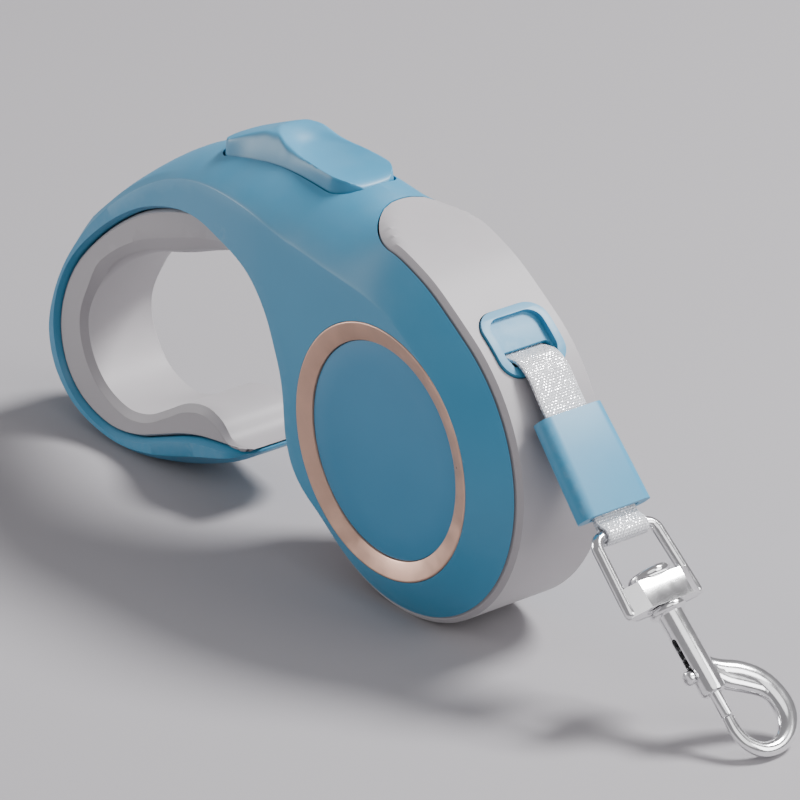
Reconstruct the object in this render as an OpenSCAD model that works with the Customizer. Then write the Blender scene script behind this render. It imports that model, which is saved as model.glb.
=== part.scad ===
// Retractable tape leash: drum housing with an open hook handle, thumb brake and swivel bolt snap.
// X runs forward through the tape exit, Y across the housing and Z up.
// The origin is on the floor, below the middle of the leash without its tape.

/* [Housing] */
// Outer radius of the drum's grey band
drum_r = 42.5; // [42:0.1:43.5]
// Half of the housing's width between its two trim rings
half_w = 19.3; // [19:0.1:20]
// Half of the handle's width
handle_half_w = 12; // [11.6:0.1:12.4]
// Half of the grey band's width
band_half_w = 12.9; // [12.6:0.1:13.2]
// Thickness of the grey band
band_t = 4.3; // [4.1:0.1:4.4]

/* [Trim] */
// Outer radius of the copper ring
ring_r = 30.8; // [30:0.1:31]
// Inner radius of the copper ring
ring_in_r = 26.2; // [25:0.1:26.5]

/* [Reel] */
// Width of the woven tape
tape_w = 12; // [11:0.5:12]
// Thickness of the woven tape
tape_t = 0.9; // [0.8:0.05:1]
// Length of tape on the reel
tape_len = 3000; // [2500:100:3200]
// Radius of the reel's hub
hub_r = 12; // [11.5:0.1:12.4]
// Radius of the reel's axle
axle_r = 2.5; // [2.2:0.1:2.8]
// Number of ratchet teeth
teeth = 16; // [12:1:20]

/* [Brake button] */
// Width of the thumb button
button_w = 17.6; // [16.6:0.2:17.8]
// Gap between the button and its pocket
button_gap = 0.45; // [0.4:0.05:0.6]

/* [Lead] */
// Slope of the sleeve below the horizontal
sleeve_tilt = 47.5; // [46:0.5:49]
// Slope of the snap hook below the horizontal
hook_tilt = 41.5; // [40:0.5:41.5]
// Length of the sleeve
sleeve_len = 24.4; // [23:0.2:25]
// Wire thickness of the hook's bow
bow_wire = 3.8; // [3.4:0.1:3.8]

/* [Hidden] */
$fn = 64;

blue = "steelblue";
grey = "silver";
copper = "tan";
steel = "gainsboro";
black = "dimgray";

// Middle of the leash along X, which becomes the origin.
mid_x = -50.5;
eps = 0.01;
seat_r = drum_r - band_t;
cavity_r = seat_r - 1.6;
side_wall_y = half_w - 2.1;
cavity_half = side_wall_y - 1.6;
shoulder_r = drum_r - 2.6;
coil_r = sqrt(hub_r * hub_r + tape_len * tape_t / PI);
flange_r = 34;
tooth_tip_r = 36;
tooth_root_r = 33.8;
reel_half = tape_w / 2 + 0.3;
flange_t = 1;
ratchet_t = 2;

// Spine of the housing, from the nose over the handle to its free tip, as [x, z] about the drum's axis.
spine = [
    [24.4, 34.8], [13, 42.4], [5, 46.2], [-4, 49.2], [-16, 52], [-30, 54.2], [-45, 54.8],
    [-60, 53], [-75, 49], [-90, 42.5], [-105, 33], [-120, 20.5], [-132, 6], [-140, -8],
    [-143.5, -20], [-140.5, -31], [-131, -38.8], [-115, -42.3], [-100, -41.3], [-88, -38.3],
    [-75, -33.5], [-66, -29.2], [-61, -25.8]
];
// Line between the shells and the grip liner, from the drum's rear round to the free tip.
seam = [
    [-38.5, -9], [-42.5, 3], [-45.5, 12], [-48.5, 19], [-53, 25.5], [-60, 30], [-70, 32],
    [-80, 31.5], [-92, 28.5], [-104, 23.5], [-117, 15], [-129, 4], [-136, -7], [-138.5, -18],
    [-136, -28], [-129, -35], [-118, -38.3], [-107, -37.3], [-96, -33.4], [-88, -30.3],
    [-80, -28], [-70, -26.4], [-61, -25.2]
];
// Inner face of the grip liner, over the same run.
grip = [
    [-40.2, -9], [-44.2, 3], [-47.3, 12], [-51.3, 18.5], [-57, 23], [-65, 24.3], [-76, 21],
    [-88, 16.5], [-102, 12], [-114, 5.5], [-122.5, -3], [-127, -12], [-126, -20.5],
    [-120.5, -27.5], [-111.5, -30.8], [-103, -29.6], [-95, -25.5], [-87, -21], [-79, -19],
    [-72, -20.6], [-67.5, -25]
];
// Upper face of the thumb button and the hinge that it rocks on.
button_top = [
    [-75.2, 48.4], [-74.6, 51], [-70, 53.2], [-62, 56.4], [-57.5, 57.9], [-53.5, 57.8], [-50, 56.9],
    [-45, 56.1], [-38, 55.5], [-30, 54.9], [-26.5, 54.3], [-24.5, 53]
];
button_x = [-75.2, -24.5];
button_axis = [-71, 45.5];
pawl_axis = [-50, 37];
screw_at = [[-84, 37], [-108, 25.6], [-71, 37], [-2, 41]];

// Centre of the tongue's round end, on the spine in front of the button.
tongue_x = -3.4;
// Tape exit, on the drum's band.
exit_angle = 49.7;
exit_size = [16.9, 18.6];
exit_corner = 5;
// Centre line of the free tape, from inside the exit to the eye's bar, about the drum's axis.
tape_route = [
    [-1, 33.2], [8.5, 32.4], [14, 30.9], [20, 29.4], [24.8, 28.9], [28.6, 29.4], [32.4, 29.6],
    [36.2, 27.4], [39.9, 22.9], [42.86, 19.5], [47, 14.98], [51.1, 10.5], [55.49, 5.71], [60.69, 0.03]
];
sleeve_at = [51.1, 10.5];
bar_at = [62.4, -1.8];
eye_wire = 2.8;
// Distances down the hook from the eye's bar: the swivel block, the shank's end and the knob.
block_d = 16.2;
shank_end = 42;
knob_d = shank_end - 5.2;
shank_r = 3;
bow_r = 7.6;
// Centres of the bow's upper and lower bends.
bow_upper = shank_end + 4.3;
bow_lower = shank_end + 8.9;
bow_tip = shank_end + 6.2;

// Catmull-Rom curve through the points, with n steps between neighbours.
function blend_at(a, b, c, d, t) = 0.5 * (2 * b + (c - a) * t + (2 * a - 5 * b + 4 * c - d) * t * t
    + (3 * b - a - 3 * c + d) * t * t * t);
function curve(p, n) = [
    for (i = [0:len(p) - 2], k = [0:n - 1])
        blend_at(p[max(i - 1, 0)], p[i], p[i + 1], p[min(i + 2, len(p) - 1)], k / n),
    p[len(p) - 1]
];
function reverse(p) = [for (i = [len(p) - 1:-1:0]) p[i]];
function arc(r, a0, a1, n) = [for (i = [0:n]) r * [cos(a0 + (a1 - a0) * i / n), sin(a0 + (a1 - a0) * i / n)]];

// Places the design's drum axis at its height above the floor.
module at_drum() {
    translate([-mid_x, 0, drum_r]) children();
}

// Extrudes an [x, z] outline from y0 to y1.
module across(y0, y1) {
    translate([0, y1, 0]) rotate([90, 0, 0]) linear_extrude(y1 - y0) children();
}

// A disc or ring about the Y axis, from y0 to y1.
module round_y(r, y0, y1, x = 0, z = 0) {
    translate([x, y1, z]) rotate([90, 0, 0]) cylinder(r = r, h = y1 - y0);
}

// ---- Housing ----

module body_outline() {
    polygon(concat(curve(spine, 4), reverse(curve(seam, 4)), arc(drum_r, -166, 54, 60)));
}

// Half of the outer housing, on the -Y side, with its shoulder in steps up the neck.
module housing_solid() {
    across(-9.5, 0) body_outline();
    across(-handle_half_w, -9.5) offset(delta = -1.2) body_outline();
    neck_step(handle_half_w, 14.2, 2.8, -93);
    neck_step(14.2, 16.2, 5.2, -80);
    neck_step(16.2, 17.8, 7.8, -69);
    neck_step(17.8, half_w, 10.2, -58);
    translate([0, -band_half_w, 0]) rotate([90, 0, 0])
        cylinder(r1 = shoulder_r, r2 = ring_r + 0.8, h = half_w - band_half_w, $fn = 96);
    round_y(shoulder_r, -band_half_w, -9);
}

module neck_step(y0, y1, inset, x_min) {
    across(-y1, -y0) intersection() {
        offset(delta = -inset) body_outline();
        translate([x_min, 0]) square([-x_min, 60]);
    }
}

// Space for the reel and, above it, the brake.
module housing_cavity() {
    round_y(cavity_r, -band_half_w - 0.4, eps);
    round_y(ring_r + 0.4, -cavity_half, 0);
    across(-10.6, eps) polygon([
        [-66, 38], [-66, 47.9], [-60, 49.8], [-45, 51.4], [-30, 50.6], [-20, 46.4], [-8, 43.2],
        [-8, 34], [-30, 20], [-46, 24], [-52, 30], [-60, 35]
    ]);
    across(-5.2, eps) polygon([
        [-75.6, 41.8], [-75.6, 45], [-65, 48.5], [-65, 37.6], [-67.2, 38.6], [-69, 41.2]
    ]);
}

// Outer skin of the nose that the grey band fills; it ends in a round tongue on the spine.
module band_outline() {
    difference() {
        polygon(concat(curve(spine, 4), [[-60, 0]], arc(drum_r, -166, 54, 60)));
        offset(delta = -band_t)
            polygon(concat(curve(spine, 4), [[-110, 0]], arc(drum_r, -166, 54, 60)));
    }
}

module band_plan() {
    translate([tongue_x, 0, -60]) cylinder(r = band_half_w, h = 120);
    translate([tongue_x, -band_half_w, -60]) cube([80, 2 * band_half_w, 120]);
    translate([-60, -band_half_w, -60]) cube([80, 2 * band_half_w, 80]);
}

module band_solid() {
    intersection() {
        union() {
            across(-11.5, 11.5) band_outline();
            for (s = [-1, 1])
                across(s > 0 ? 11.4 : -band_half_w, s > 0 ? band_half_w : -11.4) intersection() {
                    offset(delta = -1.3) body_outline();
                    band_outline();
                }
        }
        band_plan();
        translate([-38.4, -20, -60]) cube([120, 40, 130]);
    }
}

// Through slot for the nozzle, square to the band at the tape exit.
module at_exit() {
    rotate([0, -exit_angle, 0]) translate([drum_r, 0, 0]) children();
}

// Rounded block along the exit's axis, from x0 to x1, its height first and then its width.
module exit_block(size, corner, x0, x1, drop = 0) {
    at_exit() translate([x0, 0, 0]) rotate([0, 90, 0]) linear_extrude(x1 - x0)
        translate([drop, 0]) offset(r = corner) square(size - 2 * [corner, corner], center = true);
}

module nozzle_slot() {
    exit_block(exit_size + [0.04, 0.04], exit_corner, -10, 10);
}

module button_plan(grow) {
    length = button_x[1] - button_x[0];
    translate([(button_x[0] + button_x[1]) / 2, 0])
        offset(r = 5 + grow) square([length - 10, button_w - 10], center = true);
}

module button_pocket() {
    translate([0.15, 0, 44.2]) linear_extrude(30) button_plan(button_gap);
}

// One shell on the -Y side; boss_end is how far in its axle boss reaches.
module half_shell(boss_end) {
    difference() {
        union() {
            difference() {
                housing_solid();
                housing_cavity();
            }
            round_y(7, -cavity_half - eps, boss_end);
            intersection() {
                round_y(3.6, -10.6, 0, pawl_axis[0], pawl_axis[1]);
                across(-10.6, -10.3) square([200, 200], center = true);
            }
        }
        band_solid();
        nozzle_slot();
        button_pocket();
        round_y(ring_r + 0.05, -30, -side_wall_y);
        round_y(axle_r + 0.03, -side_wall_y + 0.3, eps);
        guide_pin(1.03, -10.7, eps);
        round_y(1.22, -11.6, eps, pawl_axis[0], pawl_axis[1]);
        round_y(1.22, -10, eps, button_axis[0], button_axis[1]);
    }
}

module right_shell() {
    color(blue) at_drum() difference() {
        half_shell(-11.3);
        for (p = screw_at) round_y(1.3, -8.8, eps, p[0], p[1]);
    }
}

module left_shell() {
    color(blue) at_drum() mirror([0, 1, 0]) difference() {
        half_shell(-cavity_half);
        for (p = screw_at) {
            round_y(1.5, -8, eps, p[0], p[1]);
            round_y(2.7, -30, -7.5, p[0], p[1]);
        }
    }
}

module nose_band() {
    color(grey) at_drum() difference() {
        band_solid();
        nozzle_slot();
    }
}

// Soft liner inside the hook handle, narrower towards its inner face.
module grip_liner() {
    profile = concat(curve(seam, 4), reverse(curve(grip, 4)));
    color(grey) at_drum() {
        across(-8.4, 8.4) polygon(profile);
        for (s = [-1, 1])
            across(s > 0 ? 8.4 : -10.2, s > 0 ? 10.2 : -8.4)
                intersection() {
                    polygon(profile);
                    offset(delta = 4.5) polygon(curve(seam, 4));
                    translate([-200, -60]) square([160, 100]);
                }
    }
}

// ---- Trim ----

module trim_ring() {
    color(copper) at_drum() rotate([90, 0, 0]) rotate_extrude($fn = 96) polygon([
        [ring_in_r, side_wall_y], [ring_r, side_wall_y], [ring_r, half_w + 0.2],
        [ring_r - 1, half_w + 0.2], [ring_in_r, half_w - 1]
    ]);
}

module trim_disc() {
    color(blue) at_drum() round_y(ring_in_r - 0.05, -side_wall_y - 0.7, -side_wall_y);
}

module right_ring() {
    trim_ring();
}

module left_ring() {
    mirror([0, 1, 0]) trim_ring();
}

module right_disc() {
    trim_disc();
}

module left_disc() {
    mirror([0, 1, 0]) trim_disc();
}

// ---- Tape exit ----

// Rounded frame that the tape runs out of: a recessed plate with the tape's slot below it.
module nozzle_frame() {
    proud = 0.8;
    floor_x = -0.8;
    slot = [4.7, 13.4];
    color(blue) at_drum() difference() {
        intersection() {
            exit_block(exit_size, exit_corner, -4.2, 3);
            round_y(drum_r + proud, -20, 20);
        }
        exit_block(exit_size - [3.7, 3.6], exit_corner - 1.4, floor_x, 5);
        exit_block(slot, 0.8, -8, 5, 3.85);
        exit_block(slot + [2.7, 0.1], 0.8, -8, floor_x - 1.3, 2.5);
    }
}

module guide_pin(r, y0, y1) {
    at_exit() translate([-5.6, 0, -4.4]) round_y(r, y0, y1);
}

module tape_guide_pin() {
    color(steel) at_drum() guide_pin(1, -10.6, 10.6);
}

// ---- Reel ----

module ratchet_outline() {
    polygon([
        for (i = [0:teeth - 1], k = [0:3]) let (a = 360 * (i + [0, 0.12, 0.55, 0.9][k]) / teeth)
            [tooth_root_r, tooth_tip_r, tooth_root_r, tooth_root_r][k] * [cos(a), sin(a)]
    ]);
}

// Hub with one flange, its ratchet and the arbor that winds the spring.
module reel_drum() {
    right_y = -reel_half - flange_t;
    color(black) at_drum() difference() {
        union() {
            round_y(hub_r, right_y, reel_half);
            round_y(flange_r - 0.6, right_y, -reel_half);
            across(right_y - ratchet_t, right_y + eps) ratchet_outline();
            round_y(hub_r - 1.6, reel_half - eps, reel_half + flange_t);
            round_y(5, reel_half, cavity_half - 1.2);
        }
        round_y(axle_r + 0.06, -30, 30);
    }
}

module reel_flange() {
    color(black) at_drum() difference() {
        round_y(flange_r - 0.6, reel_half + 0.02, reel_half + flange_t);
        round_y(hub_r - 1.55, -30, 30);
    }
}

module tape_coil() {
    color("whitesmoke") at_drum() difference() {
        round_y(coil_r, -tape_w / 2, tape_w / 2);
        round_y(hub_r + 0.03, -30, 30);
    }
}

module reel_axle() {
    color(steel) at_drum() round_y(axle_r, -side_wall_y + 0.4, side_wall_y - 0.4);
}

module reel_washer() {
    color(steel) at_drum() difference() {
        round_y(6, -10.9, -10);
        round_y(axle_r + 0.06, -30, 30);
    }
}

module spring_cup() {
    color(black) at_drum() difference() {
        round_y(29.5, 8.9, cavity_half - 0.02);
        round_y(28.2, 0, cavity_half - 0.8);
        round_y(axle_r + 0.4, -30, 30);
    }
}

module spring_cover() {
    color(black) at_drum() difference() {
        round_y(29.5, 8, 8.88);
        round_y(5.5, -30, 30);
    }
}

// Flat power spring, wound in a spiral round the arbor.
module power_spring() {
    turns = 6;
    steps = 24;
    r0 = 5.8;
    pitch = (27.4 - r0) / turns;
    inner = [for (i = [0:turns * steps]) (r0 + pitch * i / steps) * [cos(15 * i), sin(15 * i)]];
    outer = [for (i = [0:turns * steps]) (r0 + 0.7 + pitch * i / steps) * [cos(15 * i), sin(15 * i)]];
    color(steel) at_drum() across(9.3, cavity_half - 1.2) polygon(concat(inner, reverse(outer)));
}

// ---- Brake ----

// Rocking thumb button: raised hump behind, broad shallow thumb rest in front.
module brake_button() {
    color(blue) at_drum() difference() {
        intersection() {
            union() {
                across(-button_w / 2, button_w / 2)
                    polygon(concat(curve(button_top, 3), [[-24.5, 50.1], [-40, 51], [-60, 50], [-75.2, 46.4]]));
                across(-4.6, 4.6) polygon([
                    [-76, 47], [-75, 43.6], [-68, 42.6], [-64, 48], [-64, 51], [-76, 50]
                ]);
                across(-5, -1) polygon([[-31, 52], [-31, 47.3], [-27, 46.7], [-25, 51]]);
            }
            translate([0, 0, 30]) linear_extrude(40) button_plan(0);
        }
        round_y(1.24, -30, 30, button_axis[0], button_axis[1]);
    }
}

module button_pin() {
    color(steel) at_drum() round_y(1.2, -9.9, 9.9, button_axis[0], button_axis[1]);
}

module button_spring() {
    color(steel) at_drum() across(1, 4) polygon([
        [-66.5, 40.2], [-60, 42], [-50, 47.6], [-42, 49.4], [-42, 48.9], [-50, 47], [-60, 41.4],
        [-66.5, 39.5]
    ]);
}

// Lever that drops its nose between the ratchet teeth.
module brake_pawl() {
    color(black) at_drum() difference() {
        union() {
            round_y(3, -9.3, -0.6, pawl_axis[0], pawl_axis[1]);
            across(-9.3, -0.6) polygon([
                [-49.5, 39.8], [-40, 43.5], [-30, 46.4], [-26, 46], [-24.5, 42], [-31, 41.2], [-48.5, 34.5]
            ]);
            across(-9.3, -7.5) polygon([[-31, 42], [-24.8, 44], [-21.2, 29.9], [-23.6, 28.9]]);
        }
        round_y(1.24, -30, 30, pawl_axis[0], pawl_axis[1]);
    }
}

module pawl_pin() {
    color(steel) at_drum() round_y(1.2, -11.5, 11.5, pawl_axis[0], pawl_axis[1]);
}

module pawl_spring() {
    color(steel) at_drum() across(2, 5) polygon([
        [-52, 33.3], [-46, 34.2], [-38, 40], [-30, 43], [-30, 42.5], [-38, 39.4], [-46, 33.6], [-52, 32.6]
    ]);
}

module housing_screws() {
    color(steel) at_drum() for (p = screw_at) difference() {
        union() {
            round_y(1.28, -8.6, 7.6, p[0], p[1]);
            round_y(2.6, 7.52, 9.2, p[0], p[1]);
        }
        translate([p[0] - 0.35, 8.5, p[1] - 1.8]) cube([0.7, 2, 3.6]);
        translate([p[0] - 1.8, 8.5, p[1] - 0.35]) cube([3.6, 2, 0.7]);
    }
}

// ---- Lead ----

// Flat strip swept along the route, as one closed body.
module tape() {
    pts = curve(tape_route, 3);
    n = len(pts);
    dir = [for (i = [0:n - 1]) let (d = pts[min(i + 1, n - 1)] - pts[max(i - 1, 0)]) d / norm(d)];
    top = [for (i = [0:n - 1]) pts[i] + [-dir[i][1], dir[i][0]] * tape_t / 2];
    low = [for (i = [0:n - 1]) pts[i] - [-dir[i][1], dir[i][0]] * tape_t / 2];
    color("whitesmoke") at_drum() across(-tape_w / 2, tape_w / 2) polygon(concat(top, reverse(low)));
}

// Frame whose X axis runs down the sleeve.
module along_sleeve() {
    translate([sleeve_at[0], 0, sleeve_at[1]]) rotate([0, sleeve_tilt, 0]) children();
}

module tape_sleeve() {
    color(blue) at_drum() difference() {
        along_sleeve() translate([-sleeve_len / 2, 0, 0]) rotate([0, 90, 0]) linear_extrude(sleeve_len)
            offset(r = 2.9) square([0.4, 13.2], center = true);
        along_sleeve() translate([-30, 0, 0]) rotate([0, 90, 0]) linear_extrude(60)
            square([2.6, tape_w + 0.6], center = true);
    }
}

// Turned-back end of the tape: the loop that holds the eye's bar, and the end stitched behind.
module tape_tail() {
    color("whitesmoke") at_drum() difference() {
        union() {
            along_sleeve() translate([3, -tape_w / 2, -1.27]) cube([12, tape_w, 0.8]);
            round_y(eye_wire / 2 + 1, -tape_w / 2, tape_w / 2, bar_at[0], bar_at[1]);
        }
        round_y(eye_wire / 2 + 0.1, -10, 10, bar_at[0], bar_at[1]);
    }
}

// Frame whose X axis runs down the hook from the eye's bar.
module along_hook() {
    translate([bar_at[0], 0, bar_at[1]]) rotate([0, hook_tilt, 0]) children();
}

module rod_x(r, x0, x1, y = 0, z = 0) {
    translate([x0, y, z]) rotate([0, 90, 0]) cylinder(r = r, h = x1 - x0, $fn = 32);
}

// Horseshoe eye with the block that the swivel turns in.
module swivel_eye() {
    half_top = 8.2;
    half_low = 9.4;
    slope = atan((half_low - half_top) / (block_d - 1));
    color(steel) at_drum() along_hook() difference() {
        union() {
            translate([0, -half_top, 0]) rotate([-90, 0, 0]) cylinder(r = eye_wire / 2, h = 2 * half_top, $fn = 32);
            for (s = [-1, 1]) {
                translate([0, s * half_top, 0]) sphere(r = eye_wire / 2 + 0.2, $fn = 32);
                translate([0, s * half_top, 0]) rotate([0, 0, s * slope]) rod_x(eye_wire / 2, 0, block_d);
            }
            translate([block_d - 3, -10.6, -2.9]) cube([6.6, 21.2, 5.8]);
        }
        rod_x(2.3, 8, 60);
    }
}

module swivel_washer() {
    color(steel) at_drum() along_hook() difference() {
        rod_x(5.2, block_d - 5.3, block_d - 3.1);
        rod_x(1.9, 0, 60);
    }
}

// One bend of the bow, between two angles in the bow's plane.
module bow_bend(x, a0, a1) {
    translate([x, bow_r, 0]) rotate_extrude(angle = a1 - a0, start = a0)
        translate([bow_r, 0]) circle(d = bow_wire, $fn = 24);
}

// Shank, flange and open bow in one casting; the bolt slides in the shank.
module hook_body() {
    joint_r = bow_wire / 2 + 0.02;
    color(steel) at_drum() along_hook() difference() {
        union() {
            rod_x(1.85, block_d - 5.2, block_d + 3.6);
            rod_x(2.22, block_d - 2.9, block_d + 4);
            rod_x(4.4, block_d + 3.8, block_d + 5.2);
            rod_x(shank_r, block_d + 5.1, shank_end);
            bow_bend(bow_upper, 90, 218);
            bow_bend(bow_lower, -90, 90);
            rod_x(joint_r, bow_upper - 0.3, bow_lower + 0.3, 2 * bow_r);
            rod_x(joint_r, bow_tip, bow_lower + 0.3);
        }
        rod_x(1.5, block_d + 8.6, shank_end + 2);
        translate([shank_end - 14.6, -4, -0.8]) cube([10.2, 4, 1.6]);
    }
}

module knob_stem(r) {
    translate([knob_d, -3.6, 0]) rotate([-90, 0, 0]) cylinder(r = r, h = 3, $fn = 24);
}

module hook_bolt() {
    color(steel) at_drum() along_hook() difference() {
        rod_x(1.4, knob_d - 1, bow_tip - 0.2);
        knob_stem(0.72);
    }
}

module bolt_spring() {
    color(steel) at_drum() along_hook() for (i = [0:4])
        translate([block_d + 9.4 + 2.1 * i, 0, 0]) rotate([0, 90, 0]) rotate_extrude($fn = 32)
            translate([1.05, 0]) circle(d = 0.5, $fn = 16);
}

module bolt_knob() {
    color(steel) at_drum() along_hook() {
        knob_stem(0.7);
        translate([knob_d, -5, 0]) rotate([-90, 0, 0]) cylinder(r = 1.6, h = 1.4, $fn = 24);
    }
}

right_shell();
left_shell();
nose_band();
grip_liner();
right_ring();
left_ring();
right_disc();
left_disc();
nozzle_frame();
tape_guide_pin();
reel_drum();
reel_flange();
tape_coil();
reel_axle();
reel_washer();
spring_cup();
spring_cover();
power_spring();
brake_button();
button_pin();
button_spring();
brake_pawl();
pawl_pin();
pawl_spring();
housing_screws();
tape();
tape_sleeve();
tape_tail();
swivel_eye();
swivel_washer();
hook_body();
hook_bolt();
bolt_spring();
bolt_knob();
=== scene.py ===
"""Finished meshes and materials of a retractable tape leash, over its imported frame.

All sizes in the outlines are millimetres about the drum's axis: x forward, y across, z up.
"""
import logging
import math
from dataclasses import dataclass
from enum import Enum
from typing import Callable, Iterable, Sequence

import bpy
from mathutils import Matrix, Vector
from mathutils.geometry import delaunay_2d_cdt


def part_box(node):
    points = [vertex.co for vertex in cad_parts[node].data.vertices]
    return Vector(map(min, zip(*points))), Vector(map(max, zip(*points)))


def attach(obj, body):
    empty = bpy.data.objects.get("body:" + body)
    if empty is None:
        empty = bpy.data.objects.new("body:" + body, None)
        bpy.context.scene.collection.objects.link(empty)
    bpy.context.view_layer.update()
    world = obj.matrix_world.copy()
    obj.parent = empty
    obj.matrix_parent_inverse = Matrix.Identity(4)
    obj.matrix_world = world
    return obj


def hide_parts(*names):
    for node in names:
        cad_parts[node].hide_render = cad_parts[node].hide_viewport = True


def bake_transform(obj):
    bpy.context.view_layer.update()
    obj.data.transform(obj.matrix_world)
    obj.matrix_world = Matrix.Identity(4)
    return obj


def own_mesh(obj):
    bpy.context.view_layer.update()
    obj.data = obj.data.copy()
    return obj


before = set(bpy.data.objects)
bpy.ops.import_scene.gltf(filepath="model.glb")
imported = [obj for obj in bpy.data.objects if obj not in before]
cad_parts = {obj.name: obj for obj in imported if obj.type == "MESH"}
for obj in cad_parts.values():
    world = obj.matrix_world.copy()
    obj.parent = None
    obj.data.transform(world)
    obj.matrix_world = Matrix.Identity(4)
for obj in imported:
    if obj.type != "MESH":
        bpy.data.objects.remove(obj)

LOG = logging.getLogger("leash")
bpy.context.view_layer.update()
MM = 0.001
Point = tuple[float, float]

# Height and place of the drum's axis, from the axle that the reel turns on.
AXLE_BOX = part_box("reel_axle")
DRUM = (Vector(AXLE_BOX[0]) + Vector(AXLE_BOX[1])) / 2

# Spine of the housing, from the nose over the handle to its free tip.
SPINE: list[Point] = [
    (24.4, 34.8), (13, 42.4), (5, 46.2), (-4, 49.2), (-16, 52), (-30, 54.2), (-45, 54.8),
    (-60, 53), (-75, 49), (-90, 42.5), (-105, 33), (-120, 20.5), (-132, 6), (-140, -8),
    (-143.5, -20), (-140.5, -31), (-131, -38.8), (-115, -42.3), (-100, -41.3), (-88, -38.3),
    (-75, -33.5), (-66, -29.2), (-61, -25.8),
]
# Line between the shells and the grip liner, from the drum's rear round to the free tip.
SEAM: list[Point] = [
    (-39.0, -17), (-41.3, -9), (-42.5, 3), (-45.5, 12), (-48.5, 19), (-53, 25.5), (-60, 30), (-70, 32),
    (-80, 31.5), (-92, 28.5), (-104, 23.5), (-117, 15), (-129, 4), (-136, -7), (-138.5, -18),
    (-136, -28), (-129, -35), (-118, -38.3), (-107, -37.3), (-96, -33.4), (-88, -30.3),
    (-80, -28), (-70, -26.4), (-61, -25.2),
]
# Inner face of the grip liner, over the same run.
GRIP: list[Point] = [
    (-39.5, -17.6), (-42.3, -9), (-44.2, 3), (-47.3, 12), (-51.3, 18.5), (-57, 23), (-65, 24.3),
    (-76, 21), (-88, 16.5), (-102, 12), (-114, 5.5), (-122.5, -3), (-127, -12), (-126, -20.5),
    (-120.5, -27.5), (-111.5, -30.8), (-103, -29.6), (-95, -25.5), (-87, -21), (-79, -19),
    (-72.5, -20.6), (-68.6, -24), (-65.5, -24.8), (-61.3, -24.6),
]
# Centre line of the free tape, from inside the exit to the eye's bar.
TAPE_ROUTE: list[Point] = [
    (-1, 33.2), (8.5, 32.4), (14, 30.9), (20, 29.4), (24.8, 28.9), (28.6, 29.4), (32.4, 29.6),
    (36.2, 27.4), (39.9, 22.9), (42.86, 19.5), (47, 14.98), (51.1, 10.5), (55.49, 5.71), (60.69, 0.03),
]
BUTTON_TOP: list[Point] = [
    (-75.2, 48.4), (-74.6, 51), (-70, 53.2), (-62, 56.4), (-57.5, 57.9), (-53.5, 57.8), (-50, 56.9),
    (-45, 56.1), (-38, 55.5), (-30, 54.9), (-26.5, 54.3), (-24.5, 53),
]

# Drum, shells and nose band.
DRUM_R = 42.5
HALF_W = 19.3
HANDLE_HALF_W = 12.0
BAND_HALF_W = 12.9
TONGUE_X = -3.4
SEAM_GAP = 0.42
# Trim ring and side disc.
RING_R = 30.8
RING_IN_R = 26.2
SIDE_WALL_Y = 17.2
# Brake button.
BUTTON_W = 17.6
BUTTON_X = (-74.0, -24.5)
BUTTON_GAP = 0.45
POCKET_FLOOR = 44.2
# Tape exit, tape and sleeve.
EXIT_ANGLE = math.radians(49.7)
EXIT_SIZE = (18.6, 16.9)
TAPE_W = 12.0
TAPE_T = 0.9
SLEEVE_AT = (51.1, 10.5)
SLEEVE_TILT = math.radians(47.5)
SLEEVE_LEN = 24.4
# Snap hook, with its pieces placed by their distance from the eye's bar.
BAR_AT = (62.4, -1.8)
HOOK_TILT = math.radians(41.5)
EYE_WIRE = 2.8
BLOCK_D = 16.2
SHANK_END = 42.0
KNOB_D = SHANK_END - 5.2
SHANK_R = 3.0
# Centre line of the hook's bow, as (distance down the hook, place across it).
BOW_LINE: list[Point] = [
    (29, 0.1), (32.5, 0.5), (35.4, 1.8), (37.4, 4.6), (39.4, 8.6), (42.4, 12.2), (46.4, 14.4), (51.4, 14.8),
    (55.6, 12.6), (57.9, 8.6), (57.7, 4.2), (55.2, 1.2), (51.8, 0), (48.2, 0),
]
# Centre line of the web between the shank and the bow, in the same terms.
WEB_LINE: list[Point] = [(32, 0.4), (36.6, 1.6), (39.8, 4.2), (42.2, 8.0), (44.9, 11.9), (48, 14.2)]
BOLT_HOLE_R = 1.5
# Two directions count as facing each other when their dot product is below this.
FACING = -0.2


# ---------------------------------------------------------------- geometry helpers


def place(x: float, y: float, z: float) -> Vector:
    """Turn a point about the drum's axis, in millimetres, into metres in the frame.

    Args:
        x: Distance forward of the axis.
        y: Distance across the housing.
        z: Height above the axis.

    Returns:
        The point in the frame.
    """
    return DRUM + Vector((x, y, z)) * MM


def curve(points: Sequence[Point], steps: int) -> list[Point]:
    """Run a Catmull-Rom curve through points.

    Args:
        points: The points that the curve passes.
        steps: Stretches between neighbouring points.

    Returns:
        The curve's points, ending on the last one given.
    """
    out: list[Point] = []
    last = len(points) - 1
    for i in range(last):
        a, b = points[max(i - 1, 0)], points[i]
        c, d = points[i + 1], points[min(i + 2, last)]
        for k in range(steps):
            t = k / steps
            out.append(tuple(
                0.5 * (2 * b[j] + (c[j] - a[j]) * t + (2 * a[j] - 5 * b[j] + 4 * c[j] - d[j]) * t * t
                       + (3 * b[j] - a[j] - 3 * c[j] + d[j]) * t ** 3)
                for j in (0, 1)))
    out.append(tuple(points[-1]))
    return out


def arc(radius: float, start: float, end: float, steps: int) -> list[Point]:
    """List points along an arc about the drum's axis.

    Args:
        radius: The arc's radius.
        start: First angle in degrees.
        end: Last angle in degrees.
        steps: Number of stretches.

    Returns:
        The arc's points.
    """
    angles = [math.radians(start + (end - start) * i / steps) for i in range(steps + 1)]
    return [(radius * math.cos(a), radius * math.sin(a)) for a in angles]


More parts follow.
